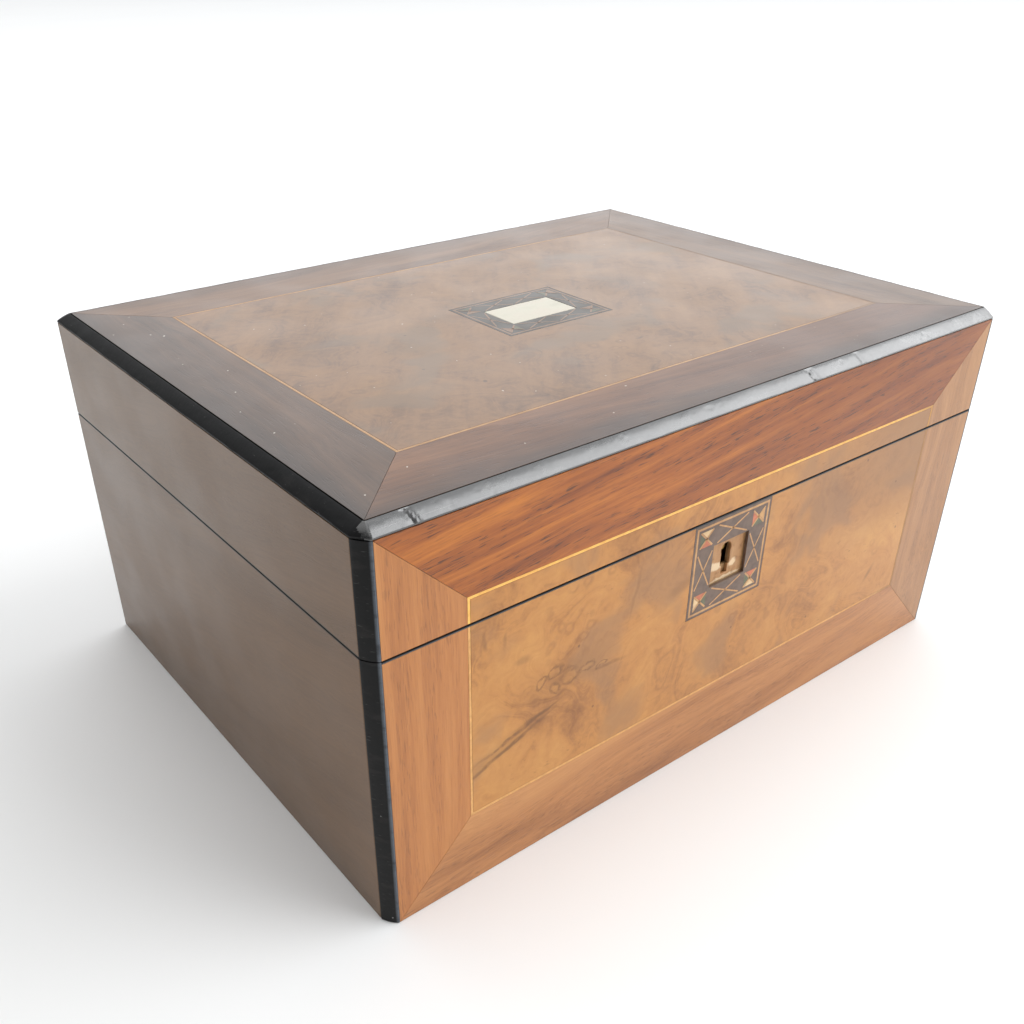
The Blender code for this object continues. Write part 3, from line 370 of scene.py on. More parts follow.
def ebony(name, worn_share=0.25, polish=0.0, arris_highlight=0.0, highlight_below=None):
    """Black-stained wood, rubbed to brown-grey in places, with fine scratches and specks.

    polish is how much wax it still has. arris_highlight is how strongly a blue-grey highlight is painted
    along its front arris, broken up like rubbing. Where highlight_below is given, the painted highlight stays
    under that height.
    """
    recipe = Recipe(name)
    rub = recipe.noise(recipe.stretch(recipe.place, (0.3, 0.3, 1)), 5, 4, 0.65)
    rubbed = recipe.smooth(rub, 0.50, 0.72, 0.0, worn_share)
    colour = recipe.mix(rubbed, tone(16, 16, 17), tone(66, 62, 60))
    scratches = recipe.noise(recipe.stretch(recipe.place, (0.06, 0.4, 2.2)), 1.0, 2)
    colour = recipe.mix(recipe.smooth(scratches, 0.66, 0.76, 0.0, 0.35), colour, tone(104, 102, 100))
    motes = recipe.dust(recipe.place, 5, 0.3)
    colour = recipe.mix(recipe.times(motes, 0.6), colour, tone(190, 190, 188))
    # Painted highlight: the front arris turns blue-grey as if it caught the sky, broken up by the rubbing
    # noise.
    if arris_highlight:
        parts = recipe.split(recipe.place)
        arris = recipe.smooth(parts[1], FRONT + 0.7, FRONT + 0.1, 0.0, arris_highlight)
        arris = recipe.times(arris, recipe.smooth(rub, 0.3, 0.55, 0.5, 1.0))
        if highlight_below:
            arris = recipe.times(arris, recipe.smooth(parts[2], highlight_below + 0.08, highlight_below - 0.08))
        colour = recipe.mix(arris, colour, tone(104, 110, 118))
    roughness = recipe.smooth(rub, 0.3, 0.7, 0.42 - 0.18 * polish, 0.52 - 0.16 * polish)
    height = recipe.noise(recipe.place, 1.4, 3, 0.6)
    return recipe.finish(
        colour, roughness, recipe.bump(height, 0.05), Coat_Weight=polish, Coat_Roughness=0.2,
        Specular_IOR_Level=0.2 + 0.75 * polish)


def line_wood(name, light, dark, fade=None):
    """Boxwood and other inlay woods: even, with short fine flecks. fade is the x range where it goes dull."""
    recipe = Recipe(name)
    flecks = recipe.noise(recipe.stretch(recipe.place, (0.4, 1, 0.4)), 0.9, 3, 0.6)
    broad = recipe.noise(recipe.place, 14, 2)
    colour = recipe.mix(recipe.smooth(flecks, 0.35, 0.75, 0.0, 0.6), light, dark)
    colour = recipe.mix(recipe.smooth(broad, 0.45, 0.75, 0.0, 0.45), colour, dark)
    if fade:
        across = recipe.split(recipe.place)[0]
        dulled = tuple(0.62 * share for share in dark[:3]) + (1.0,)
        colour = recipe.mix(recipe.smooth(across, *fade, 0.0, 0.8), colour, dulled)
    roughness = recipe.smooth(broad, 0.3, 0.7, 0.30, 0.42)
    return recipe.finish(colour, roughness, recipe.bump(flecks, GRAIN_DEPTH), **WAX_COAT)


def pine(name):
    """Unpolished pine, with dark growth lines along X."""
    recipe = Recipe(name)
    wavy = recipe.swirl(recipe.stretch(recipe.place, (0.12, 1, 1)), 30, 12)
    rings = recipe.sum("FRACT", recipe.times(recipe.noise(wavy, 40, 1), 14))
    line = recipe.smooth(rings, 0.35, 1.0)
    fibres = recipe.noise(recipe.stretch(recipe.place, (0.03, 1, 1)), 0.6, 3)
    colour = recipe.mix(recipe.times(line, 0.7), tone(206, 170, 118), tone(160, 108, 60))
    colour = recipe.mix(recipe.smooth(fibres, 0.4, 0.7, 0.0, 0.3), colour, tone(140, 100, 62))
    soil = recipe.smooth(recipe.noise(recipe.place, 60, 4), 0.45, 0.7, 0.0, 0.45)
    colour = recipe.mix(soil, colour, tone(96, 74, 54))
    return recipe.finish(colour, 0.68, recipe.bump(fibres, 0.08))


# Paler bruises on the escutcheon's plate: middle (x, z), radii and turn.
PLATE_BRUISES = (
    ((-6.0, 85.9), (3.4, 1.6), -8),
    ((3.6, 84.6), (2.1, 1.4), 20),
    ((0.0, 79.6), (8, 0.8), 0),
)


def worn_plate(name):
    """The escutcheon's pale plate: rubbed, with paler bruises beside the keyhole and patchy grime."""
    recipe = Recipe(name)
    flat = recipe.laid("XZY")
    streaks = recipe.noise(recipe.stretch(recipe.place, (1, 1, 0.12)), 1.3, 3, 0.6)
    colour = recipe.mix(streaks, tone(196, 152, 104), tone(168, 118, 76))
    rough_edge = recipe.swirl(flat, 2.5, 2.2, 3)
    for centre, radii, turn in PLATE_BRUISES:
        bruise = recipe.mark(rough_edge, centre, radii, turn, 0.3)
        colour = recipe.mix(recipe.times(bruise, 0.8), colour, tone(240, 214, 176))
    grime = recipe.noise(recipe.place, 3, 4)
    colour = recipe.mix(recipe.smooth(grime, 0.52, 0.75, 0.0, 0.5), colour, tone(112, 70, 44))
    return recipe.finish(colour, recipe.smooth(grime, 0.3, 0.7, 0.42, 0.6), recipe.bump(grime, 0.12))


NACRE = (
    (0.30, tone(168, 162, 138)),
    (0.45, tone(182, 175, 152)),
    (0.58, tone(186, 174, 153)),
    (0.72, tone(174, 173, 148)),
)


def mother_of_pearl(name):
    """Cream nacre: soft drifts of pink and green in wavy layers."""
    recipe = Recipe(name)
    layers = recipe.swirl(recipe.stretch(recipe.place, (0.6, 1, 1)), 18, 9)
    drift = recipe.noise(layers, 13, 2)
    colour = recipe.ramp(drift, NACRE)
    roughness = recipe.smooth(drift, 0.3, 0.7, 0.16, 0.28)
    return recipe.finish(colour, roughness, recipe.bump(drift, 0.03), Coat_Weight=0.4, Coat_Roughness=0.08)


# Metals and linings -------------------------------------------------------------------------------


def metal(name, bright, dull, low=0.26, high=0.5):
    """Old hand-finished metal: tarnish in drifts, file marks, darker specks."""
    recipe = Recipe(name)
    tarnish = recipe.noise(recipe.place, 9, 5, 0.62)
    marks = recipe.noise(recipe.stretch(recipe.place, (0.12, 1, 1)), 0.5, 2)
    colour = recipe.mix(recipe.smooth(tarnish, 0.42, 0.68), bright, dull)
    pits = recipe.smooth(recipe.noise(recipe.place, 0.9, 2), 0.66, 0.74, 0.0, 0.5)
    colour = recipe.mix(pits, colour, dull)
    dulled = recipe.smooth(tarnish, 0.35, 0.7, low, high)
    roughness = recipe.plus(dulled, recipe.times(marks, 0.08))
    return recipe.finish(colour, roughness, recipe.bump(marks, 0.02), Metallic=1.0)


def silk(name, deep, pale, axes):
    """Ribbed silk: a fine rib across, slubs along, faded in drifts."""
    recipe = Recipe(name)
    flat = recipe.laid(axes)
    slubs = recipe.noise(recipe.stretch(flat, (0.05, 1, 1)), 0.7, 3, 0.65)
    ribs = recipe.noise(recipe.stretch(flat, (0.12, 1, 1)), 0.28, 1)
    fade = recipe.noise(flat, 70, 4)
    colour = recipe.mix(recipe.smooth(fade, 0.35, 0.65), deep, pale)
    colour = recipe.mix(recipe.smooth(slubs, 0.4, 0.75, 0.0, 0.5), colour, pale)
    height = recipe.plus(ribs, recipe.times(slubs, 0.6))
    roughness = recipe.smooth(slubs, 0.3, 0.7, 0.42, 0.6)
    normal = recipe.bump(height, 0.06)
    return recipe.finish(colour, roughness, normal, Sheen_Weight=0.35, Sheen_Roughness=0.35)


def velvet(name, deep, pale):
    """Cotton velvet: a short pile, brushed about in drifts, with a soft sheen."""
    recipe = Recipe(name)
    pile = recipe.noise(recipe.place, 0.35, 2, 0.7)
    brushed = recipe.noise(recipe.swirl(recipe.place, 50, 30), 55, 3, 0.45)
    colour = recipe.mix(recipe.smooth(brushed, 0.3, 0.7, 0.1, 0.8), deep, pale)
    colour = recipe.mix(recipe.smooth(pile, 0.4, 0.7, 0.0, 0.4), colour, pale)
    roughness = recipe.smooth(pile, 0.3, 0.7, 0.8, 0.95)
    return recipe.finish(colour, roughness, recipe.bump(pile, 0.15), Sheen_Weight=0.8, Sheen_Roughness=0.4)


ORANGE_TONES = (tone(114, 54, 12), tone(163, 88, 22), tone(196, 116, 34))
LEFT_TONES = (tone(150, 90, 46), tone(186, 120, 64), tone(204, 139, 78))
RIGHT_TONES = (tone(148, 100, 60), tone(177, 126, 80), tone(194, 143, 95))
BOTTOM_TONES = (tone(150, 95, 52), tone(186, 126, 74), tone(204, 145, 88))
SIDE_TONES = (tone(94, 66, 38), tone(116, 84, 52), tone(134, 98, 62))
BACK_TONES = (tone(78, 56, 38), tone(98, 72, 50), tone(112, 83, 58))
# The top's veneers are toned darker than the like veneers on the front (TOP_BURR_TONES against BURR_TONES):
# painted shade for the weaker light on the top.
TOP_FRONT_TONES = (tone(78, 44, 22), tone(108, 68, 37), tone(128, 85, 50))
TOP_LEFT_TONES = (tone(60, 40, 26), tone(86, 60, 40), tone(104, 74, 50))
TOP_BACK_TONES = (tone(86, 58, 38), tone(108, 76, 50), tone(124, 90, 60))
TOP_RIGHT_TONES = (tone(84, 58, 38), tone(108, 78, 52), tone(124, 92, 62))
BURR_TONES = (tone(140, 88, 44), tone(192, 131, 66), tone(208, 150, 80), tone(160, 116, 76))
TOP_BURR_TONES = (tone(90, 60, 36), tone(126, 90, 54), tone(142, 104, 64), tone(112, 90, 68))

# Eyes in the front's burr: middle, radii and turn. The middle is (x, z).
FRONT_KNOTS = (
    ((-89, 72.5), (2.6, 2.2), 20),
    ((-83, 74.0), (3.6, 2.6), 25),
    ((-76.5, 70.0), (4.4, 3.0), -12),
    ((-69, 71.0), (3.4, 2.0), 10),
    ((-82, 66.5), (2.4, 2.2), 0),
    ((-62, 68.5), (3.0, 1.3), -15),
)
# Darker marks: middle, radii, turn and strength. The middle is (x, z) on the front and (x, y) on the top.
FRONT_SMUDGES = (
    ((-103, 52.4), (17, 0.8), 20, 0.65),
    ((-99, 56.6), (15, 0.7), 17, 0.60),
    ((-100, 55.0), (17, 2.8), 18, 0.22),
    ((-90, 60.0), (8, 0.6), 12, 0.45),
    ((-58, 67), (7, 0.8), -4, 0.40),
    ((-79, 70.5), (18, 6.5), 6, 0.16),
    ((-97, 85.5), (3, 1.6), 0, 0.30),
    ((-112, 99), (0.8, 3), 10, 0.35),
    ((-104, 96), (0.7, 3), -8, 0.35),
    ((-24, 85), (6, 2.4), 10, 0.30),
    ((-47.5, 92), (0.7, 9), -12, 0.22),
    ((45, 88), (14, 9), 25, 0.12),
    ((97, 46), (4, 0.9), 55, 0.40),
    ((24, 60), (14, 10), 30, 0.08),
)
TOP_SMUDGES = (
    ((34, 82), (4.0, 1.1), 5, 0.80),
    ((-62, -51), (0.9, 0.8), 0, 0.70),
    ((11, -51), (1.8, 0.8), 0, 0.50),
    ((-110, -8), (3.0, 0.5), -50, 0.35),
    ((60, 12), (26, 9), 12, 0.14),
    ((-28, 74), (9, 7), 0, 0.12),
    ((-98, 7), (9, 9), 0, 0.12),
)

PLUM = (tone(78, 30, 58), tone(112, 58, 86))
ROSE = (tone(120, 58, 84), tone(158, 96, 116))

MATERIALS = {
    # Painted shade: this band darkens towards the right, standing in for less light there.
    "lid_front_top": walnut(
        "lid_front_top_walnut", "XZY", (0, 0, 0), ORANGE_TONES, turn=-6, sway=12, band=4.5, pore=0.7,
        figure=0.85, painted_shade=(0, -60, 120, 0.5)),
    "front_left": walnut(
        "front_left_walnut", "ZXY", (40, 20, 0), LEFT_TONES, sway=8, band=6, pore=0.22, figure=0.6),
    "front_right": walnut(
        "front_right_walnut", "ZXY", (300, 70, 0), RIGHT_TONES, sway=40, band=12, pore=0.22, figure=0.7),
    "front_bottom": walnut(
        "front_bottom_walnut", "XZY", (500, 90, 0), BOTTOM_TONES, turn=-4, sway=34, band=13, pore=0.25,
        figure=0.8),
    # The sides and the back carry painted seam shade.
    "side": walnut(
        "side_walnut", "YZX", (90, 300, 40), SIDE_TONES, turn=12, sway=60, band=34, pore=0.06,
        figure=0.45, seam_shade=0.95),
    "back": walnut(
        "back_walnut", "XZY", (900, 40, 40), BACK_TONES, turn=-3, sway=40, band=28, pore=0.12,
        figure=0.5, seam_shade=0.95),
    # Painted shade: this band darkens towards the right, standing in for less light there.
    "top_front": walnut(
        "top_front_walnut", "XYZ", (200, 500, 0), TOP_FRONT_TONES, turn=3, sway=26, band=9, pore=0.3,
        painted_shade=(0, -90, 90, 0.45), dusty=0.2, grimy=0.75),
    "top_back": walnut(
        "top_back_walnut", "XYZ", (260, 90, 0), TOP_BACK_TONES, turn=-4, sway=30, band=13, pore=0.3,
        grimy=0.4),
    "top_left": walnut(
        "top_left_walnut", "YXZ", (700, 100, 0), TOP_LEFT_TONES, turn=-3, sway=26, band=14, pore=0.2,
        dusty=0.3, grimy=0.75),
    "top_right": walnut(
        "top_right_walnut", "YXZ", (150, 400, 0), TOP_RIGHT_TONES, turn=5, sway=34, band=13, pore=0.3,
        grimy=0.3),
    "front_burr": burr(
        "front_burr", "XZY", (0, 0, 12), BURR_TONES, FRONT_SMUDGES, FRONT_KNOTS, greyer=(10, 120)),
    "top_burr": burr("top_burr", "XYZ", (400, 260, 0), TOP_BURR_TONES, TOP_SMUDGES, dusty=0.2, flame=0.34),
    # The corner strips and the seam's edging carry a painted highlight on their front arrises.
    "ebony": ebony("ebonised_wood", arris_highlight=0.8),
    "ebony_edging": ebony("ebonised_edging", arris_highlight=0.7, highlight_below=CASE_TOP - 0.42),
    "ebony_bead": ebony("ebonised_moulding"),
    # The front run of the moulding takes a copy that is more rubbed to grey and more polished: partly wear,
    # partly painted light that makes the front read lit and the other runs dark.
    "ebony_bead_front": ebony("ebonised_moulding_front", 0.6, 1.0),
    "boxwood": line_wood("boxwood", tone(255, 200, 100), tone(226, 158, 74), fade=(95, 120)),
    "worn_boxwood": line_wood("worn_boxwood", tone(230, 174, 104), tone(194, 138, 78), fade=(95, 119)),
    "top_boxwood": line_wood("top_boxwood", tone(182, 136, 84), tone(138, 100, 60), fade=(60, 119)),
    "inlay_boxwood": line_wood("inlay_boxwood", tone(206, 156, 100), tone(160, 112, 70)),
    "dull_boxwood": line_wood("dull_boxwood", tone(132, 98, 70), tone(92, 68, 48)),
    "dull_green": line_wood("dull_green", tone(84, 84, 56), tone(58, 60, 42)),
    "dull_ground": line_wood("dull_ground", tone(58, 48, 34), tone(40, 33, 24)),
    "cream": line_wood("inlay_cream", tone(230, 198, 150), tone(196, 156, 108)),
    "salmon": line_wood("inlay_salmon", tone(206, 118, 80), tone(160, 84, 56)),
    "green": line_wood("inlay_green", tone(104, 106, 76), tone(74, 76, 58)),
    "ground": line_wood("inlay_ground", tone(112, 90, 76), tone(80, 62, 52)),
    "pine": pine("pine"),
    "plate": worn_plate("worn_plate"),
    "pearl": mother_of_pearl("mother_of_pearl"),
    "brass": metal("brass", tone(206, 170, 98), tone(128, 96, 54)),
    "steel": metal("steel", tone(150, 148, 144), tone(78, 72, 66)),
    "silk_wall": silk("silk_wall", *ROSE, "XZY"),
    "silk_side": silk("silk_side", *ROSE, "YZX"),
    "cord": silk("silk_cord", tone(132, 92, 48), tone(186, 146, 88), "XYZ"),
    "silk_pad": silk("silk_pad", *ROSE, "XYZ"),
    "velvet": velvet("velvet", *PLUM),
}

# Parts of CAD node names, and the material that each takes. The first match counts.
NODE_FINISHES = (
    ("lid_front_top_band", "lid_front_top"),
    ("front_left_band", "front_left"),
    ("front_right_band", "front_right"),
    ("front_bottom_band", "front_bottom"),
    ("lid_top_front_band", "top_front"),
    ("lid_top_back_band", "top_back"),
    ("lid_top_left_band", "top_left"),
    ("lid_top_right_band", "top_right"),
    ("lid_top_burr_veneer", "top_burr"),
    ("front_burr_veneer", "front_burr"),
    ("front_burr_strip", "front_burr"),
    ("top_stringing", "top_boxwood"),
    ("lid_front_stringing", "boxwood"),
    ("case_front_stringing", "worn_boxwood"),
    ("left_board", "side"),
    ("right_board", "side"),
    ("back_board", "back"),
    ("board", "pine"),
    ("edging", "ebony_edging"),
    ("corner_strip", "ebony"),
    ("cartouche_frame", "dull_ground"),
    ("escutcheon_frame", "ground"),
    ("escutcheon_plate", "plate"),
    ("pearl_plate", "pearl"),
    ("_pin", "steel"),
    ("lock_spring", "steel"),
)

# How far each kind of arris is rounded off, in mm.
ARRIS = (
    ("board", 0.5),
    ("strip_left", 0.3),
    ("strip_right", 0.3),
    ("screw", 0.06),
    ("spring", 0.05),
    ("leaf", 0.15),
    ("lock_case", 0.15),
    ("lock_bolt", 0.2),
    ("link_plate", 0.2),
    ("plate", 0.25),
)
VENEER_ARRIS = 0.04
WELD_REACH = 0.002
ARRIS_ANGLE = 32


def finish_cad_node(name, node):
    """Gives a CAD node its material and rounds its arrises a little, without touching its mesh."""
    key = next((finish for part, finish in NODE_FINISHES if part in name), "brass")
    for slot in node.material_slots:
        slot.material = MATERIALS[key]
    width = next((size for part, size in ARRIS if part in name), VENEER_ARRIS)
    weld = node.modifiers.new("weld", "WELD")
    weld.merge_threshold = WELD_REACH * MM
    bevel = node.modifiers.new("arris", "BEVEL")
    bevel.width = width * MM
    bevel.segments = 2
    bevel.limit_method = "ANGLE"
    bevel.angle_limit = math.radians(ARRIS_ANGLE)
    bevel.use_clamp_overlap = True
    node.modifiers.new("even_shading", "WEIGHTED_NORMAL").keep_sharp = True
    for face in node.data.polygons:
        face.use_smooth = True


# New pieces ---------------------------------------------------------------------------------------


def piece(name, solid, material, body, angle=35):
    """A finished mesh piece, drawn in mm where it stands, that moves with a CAD body."""
    bmesh.ops.scale(solid, vec=(MM, MM, MM), verts=solid.verts)
    bmesh.ops.recalc_face_normals(solid, faces=solid.faces)
    mesh = bpy.data.meshes.new(name)
    solid.to_mesh(mesh)
    solid.free()
    made = bpy.data.objects.new(name, mesh)
    bpy.context.scene.collection.objects.link(made)
    mesh.materials.append(MATERIALS[material])
    mesh.shade_smooth()
    mesh.set_sharp_from_angle(angle=math.radians(angle))
    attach(made, body)
    return made


def closed_loops(solid, loops):
    """Joins rings of points into one tube that closes on itself both ways round."""
    rings = [[solid.verts.new(point) for point in loop] for loop in loops]
    for index, ring in enumerate(rings):
        following = rings[(index + 1) % len(rings)]
        for step in range(len(ring)):
            after = (step + 1) % len(ring)
            solid.faces.new((ring[step], ring[after], following[after], following[step]))


# Edge moulding. Its front corners are cut to carry on the corner strips.
CHAMFER_FRONT = 3.6
CHAMFER_SIDE = 4.7
LEAST_CHAMFER = 0.2
BEAD_ARC_STEPS = 12
BEAD_FLATNESS = 1.8
QUIRK_DEPTH = 0.45
QUIRK_WIDTH = 0.5
BEAD_FILLET = 0.5
BEAD_OVERHANG = 0.12
BEAD_SEGMENTS = (150, 190, 150, 6, 420, 6)
WEAR_DROP = 0.6
# Bruises in the front moulding: distance from the middle, half width and depth.
NOTCHES = ((-136.0, 0.9, 0.55), (-134.2, 0.7, 0.25), (34.0, 0.5, 0.6), (36.0, 1.1, 0.3), (62.0, 1.5, 0.2))


def bead_section(width, drop):
    """Moulding in section: (inset, depth) pairs, from the lower outer edge over the round to the quirk."""
    section = [(0.25, drop), (0.06, drop - 0.15), (0.0, drop - 0.4), (0.0, drop - BEAD_FILLET - 0.15)]
    reach = width - QUIRK_WIDTH
    rise = drop - BEAD_FILLET - 0.25
    for step in range(BEAD_ARC_STEPS + 1):
        angle = math.pi / 2 * step / BEAD_ARC_STEPS
        across = math.cos(angle) ** BEAD_FLATNESS
        up = math.sin(angle) ** BEAD_FLATNESS
        inset = BEAD_OVERHANG + (reach - BEAD_OVERHANG) * (1 - across)
        section.append((inset, rise * (1 - up)))
    quirk = [(width - QUIRK_WIDTH * 0.6, QUIRK_DEPTH), (width - 0.08, QUIRK_DEPTH)]
    return section + quirk + [(width, 0.15), (width, drop)]


def bead_wear(x, y, inset):
    """How far the moulding's face is worn or bruised away at a point, in mm."""
    place = Vector((x, y, inset))
    wear = 0.07 * (noise.noise(place * 0.11) + 0.6)
    wear += 0.05 * max(0.0, noise.noise(place * 0.7))
    dent = noise.noise(place * 0.35 + Vector((7.3, 1.9, 0)))
    wear += 0.35 * max(0.0, dent - 0.42)
    if y < FRONT + 4:
        for middle, half, depth in NOTCHES:
            off = abs(x - middle + 0.35 * (inset - 2)) / half
            if off < 1:
                wear += depth * (1 - off * off)
    return max(0.0, wear)


def add_edge_bead():
    low, high = span("lid_edge_bead")
    band_low, _ = span("lid_top_front_band")
    width = band_low.y - low.y - 0.1
    drop = high.z - low.z
    section = bead_section(width, drop)
    loops = []
    for order, (inset, depth) in enumerate(section):
        left_over = 1 - inset / width
        chamfer_x = max(CHAMFER_FRONT * left_over, LEAST_CHAMFER)
        chamfer_y = max(CHAMFER_SIDE * left_over, LEAST_CHAMFER)
        half_x = HALF_WIDTH - inset
        half_y = HALF_DEPTH - inset
        plan = [
            (half_x, -half_y + chamfer_y), (half_x, half_y), (-half_x, half_y),
            (-half_x, -half_y + chamfer_y), (-half_x + chamfer_x, -half_y), (half_x - chamfer_x, -half_y),
        ]
        shown = 3 < order < len(section) - 3
        loop = []
        for corner, count in enumerate(BEAD_SEGMENTS):
            start, end = plan[corner], plan[(corner + 1) % 6]
            for step in range(count):
                share = step / count
                x = start[0] + (end[0] - start[0]) * share
                y = start[1] + (end[1] - start[1]) * share
                wear = bead_wear(x, y, inset) if shown else 0.0
                shrink = 1 - wear / HALF_DEPTH * WEAR_DROP
                loop.append((x * shrink, y * shrink, HEIGHT - depth - wear * WEAR_DROP))
        loops.append(loop)
    solid = bmesh.new()
    closed_loops(solid, loops)
    bead = piece("edge_moulding", solid, "ebony_bead", "lid", 60)
    # The front run takes the brighter copy: partly wear, partly painted light.
    bead.data.materials.append(MATERIALS["ebony_bead_front"])
    for face in bead.data.polygons:
        x, y, _ = face.center / MM
        if y < FRONT + width and abs(x) < HALF_WIDTH - CHAMFER_FRONT * 0.6:
            face.material_index = 1
    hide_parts("lid_edge_bead")


# Inlay --------------------------------------------------------------------------------------------

PROUD = 0.02
SUNK = 0.3
FRAME_EDGE = 1.0
FRAME_LINE = 0.9
CROSS_LINE = 0.6
CORNER_LINE = 0.7
CORNER_BLOCK = 6.4
CROSS_TRIM = 0.7
CROSS_INSET = 1.0
CROSS_APART = 0.6
TRIANGLE_TRIM = 0.3
JOINT = 0.1
MITRE_GAP = 0.02


class Panel:
    """A flat face that inlay is drawn on, in mm across and up from its middle."""

    def __init__(self, node, facing):
        self.low, self.high = span(node)
        self.facing = facing
        self.middle = (self.low + self.high) / 2

    def place(self, across, up, above):
        """A point above the face by that much."""
        if self.facing == "front":
            return (self.middle.x + across, self.low.y - above, self.middle.z + up)
        return (self.middle.x + across, self.middle.y + up, self.high.z + above)

    def half_size(self):
        size = (self.high - self.low) / 2
        return size.x, size.z if self.facing == "front" else size.y

    def add(self, solid, outline, layer=1):
        """One sliver of inlay, let into the face. A higher layer covers a lower one."""
        top = [solid.verts.new(self.place(*point, PROUD * layer)) for point in outline]
        bottom = [solid.verts.new(self.place(*point, -SUNK)) for point in outline]
        solid.faces.new(top)
        solid.faces.new(list(reversed(bottom)))
        for index in range(len(outline)):
            after = (index + 1) % len(outline)
            solid.faces.new((top[after], top[index], bottom[index], bottom[after]))


def stroke(start, end, width):
    """The outline of a straight line of inlay."""
    start, end = Vector(start), Vector(end)
    along = end - start
    side = Vector((-along.y, along.x)).normalized() * width / 2
    return [tuple(start - side), tuple(end - side), tuple(end + side), tuple(start + side)]


def border(half_x, half_y, width):
    """Four mitred strips round a rectangle, as outlines."""
    outer = [(-half_x, -half_y), (half_x, -half_y), (half_x, half_y), (-half_x, half_y)]
    inner = [(x - math.copysign(width, x), y - math.copysign(width, y)) for x, y in outer]
    strips = []
    for corner in range(4):
        after = (corner + 1) % 4
        along = (Vector(outer[after]) - Vector(outer[corner])).normalized() * MITRE_GAP
        ends = (outer[corner], outer[after], inner[after], inner[corner])
        shifts = (along, -along, -along, along)
        strips.append([tuple(Vector(end) + shift) for end, shift in zip(ends, shifts)])
    return strips


def quarters(middle, half, trim):
    """A square's four triangles, bottom, right, top and left, each kept clear of its neighbours."""
    x, y = middle
    found = []
    for turn in range(4):
        cos, sin = round(math.cos(turn * math.pi / 2)), round(math.sin(turn * math.pi / 2))
        triangle = [(-half + 2 * trim, -half), (half - 2 * trim, -half), (0, -2 * trim)]
        found.append([(x + a * cos - b * sin, y + a * sin + b * cos) for a, b in triangle])
    return found


def add_banding(prefix, panel, body, opening, crosses, line_finish, tints):
    """Boxwood border, crosses and corner blocks on a dark frame.

    crosses says how many crosses go along the long sides and the short ones. tints gives the finishes of each
    corner block's four triangles.
    """
    half_x, half_y = panel.half_size()
    lines = bmesh.new()
    for outline in border(half_x - FRAME_EDGE, half_y - FRAME_EDGE, FRAME_LINE):
        panel.add(lines, outline)
    inside = (half_x - FRAME_EDGE - FRAME_LINE, half_y - FRAME_EDGE - FRAME_LINE)
    deep = (inside[0] - opening[0], inside[1] - opening[1])
    for along, number in enumerate(crosses):
        across = 1 - along
        free = opening[along] - CROSS_INSET
        reach = free / number - CROSS_APART
        near = opening[across] + CROSS_TRIM
        far = inside[across] - CROSS_TRIM
        for index in range(number):
            centre = -free + 2 * free / number * (index + 0.5)
            for side in (-1, 1):
                for first, last in ((near, far), (far, near)):
                    ends = [(centre - reach, side * first), (centre + reach, side * last)]
                    if along:
                        ends = [(b, a) for a, b in ends]
                    panel.add(lines, stroke(*ends, CROSS_LINE))

    solids = {}
    half = CORNER_BLOCK / 2
    corner_sides = ((-1, 1), (1, 1), (1, -1), (-1, -1))
    for (side_x, side_y), finishes in zip(corner_sides, tints):
        middle = (side_x * (inside[0] - deep[0] / 2), side_y * (inside[1] - deep[1] / 2))
        for outline, finish in zip(quarters(middle, half, TRIANGLE_TRIM), finishes):
            if finish:
                panel.add(solids.setdefault(finish, bmesh.new()), outline)
        for slope in (-1, 1):
            start = (middle[0] - half, middle[1] - slope * half)
            end = (middle[0] + half, middle[1] + slope * half)
            panel.add(lines, stroke(start, end, CORNER_LINE), 2)
    piece(f"{prefix}_lines", lines, line_finish, body)
    for finish, solid in solids.items():
        piece(f"{prefix}_{finish}", solid, finish, body)


def opening_round(plate, facing):
    """Half the width and height of the opening that a plate sits in, in mm."""
    half_x, half_y = Panel(plate, facing).half_size()
    return half_x + JOINT, half_y + JOINT


# Each corner block's triangles: bottom, right, top and left. The blocks go clockwise from the upper left.
ESCUTCHEON_TINTS = (
    ("salmon", None, "cream", "green"),
    ("green", "inlay_boxwood", None, "salmon"),
    ("cream", None, "salmon", "green"),
    (None, "green", "salmon", "cream"),
)
CARTOUCHE_TINTS = (
    ("dull_boxwood", None, "dull_green", None),
    (None, "dull_boxwood", None, "dull_green"),
    ("dull_green", None, "dull_boxwood", None),
    (None, "dull_green", None, "dull_boxwood"),
)

# Linings ------------------------------------------------------------------------------------------

CARD = 0.9
CARD_GAP = 0.1
LEAST_EDGE = 0.15
LIP = (0.0, 0.35, 0.9, 1.8, 3.2)
PAD_STEP = 4.6
WALL_STEP = 9.0
WALL_RIM = 2.0
WALL_TUCK = 1.5
WALL_SLACK = 0.12
LOCK_CLEARANCE = 0.5
SETTLE_FRAMES = 20

FLOOR_BORDER = 12.0
FLOOR_GROOVE = 1.1
FLOOR_GROOVE_WIDTH = 1.7
RIM_SHARE = 0.98
BACK_SKIN = 0.1

QUILT_WIDE = 44.4
QUILT_HIGH = 38.6
QUILT_BORDER = 7.0
PLEAT = 2.4
DIMPLE = 1.3
DIMPLE_REACH = 4.5
BUTTON_RADIUS = 3.8
BUTTON_HEIGHT = 2.5

CORD_STRAND = 0.75
CORD_PITCH = 4.4
CORD_STEPS = 8
CORD_SIDES = 7


def rows(low, high, step):
    """Where a grid's rows go, in mm: close together at the ends, so that the lip can curve."""
    count = round((high - low - 2 * LIP[-1]) / step)
    inner = [low + LIP[-1] + (high - low - 2 * LIP[-1]) * index / count for index in range(1, count)]
    return [low + at for at in LIP] + inner + [high - at for at in reversed(LIP)]


def lip(across, up, low, high):
    """0 at the rim of a rectangle, 1 a lip's width inside it, and a quarter round between."""
    inside = min(across - low[0], high[0] - across, up - low[1], high[1] - up)
    share = min(1.0, max(0.0, inside / LIP[-1]))
    return math.sqrt(1 - (1 - share) ** 2)


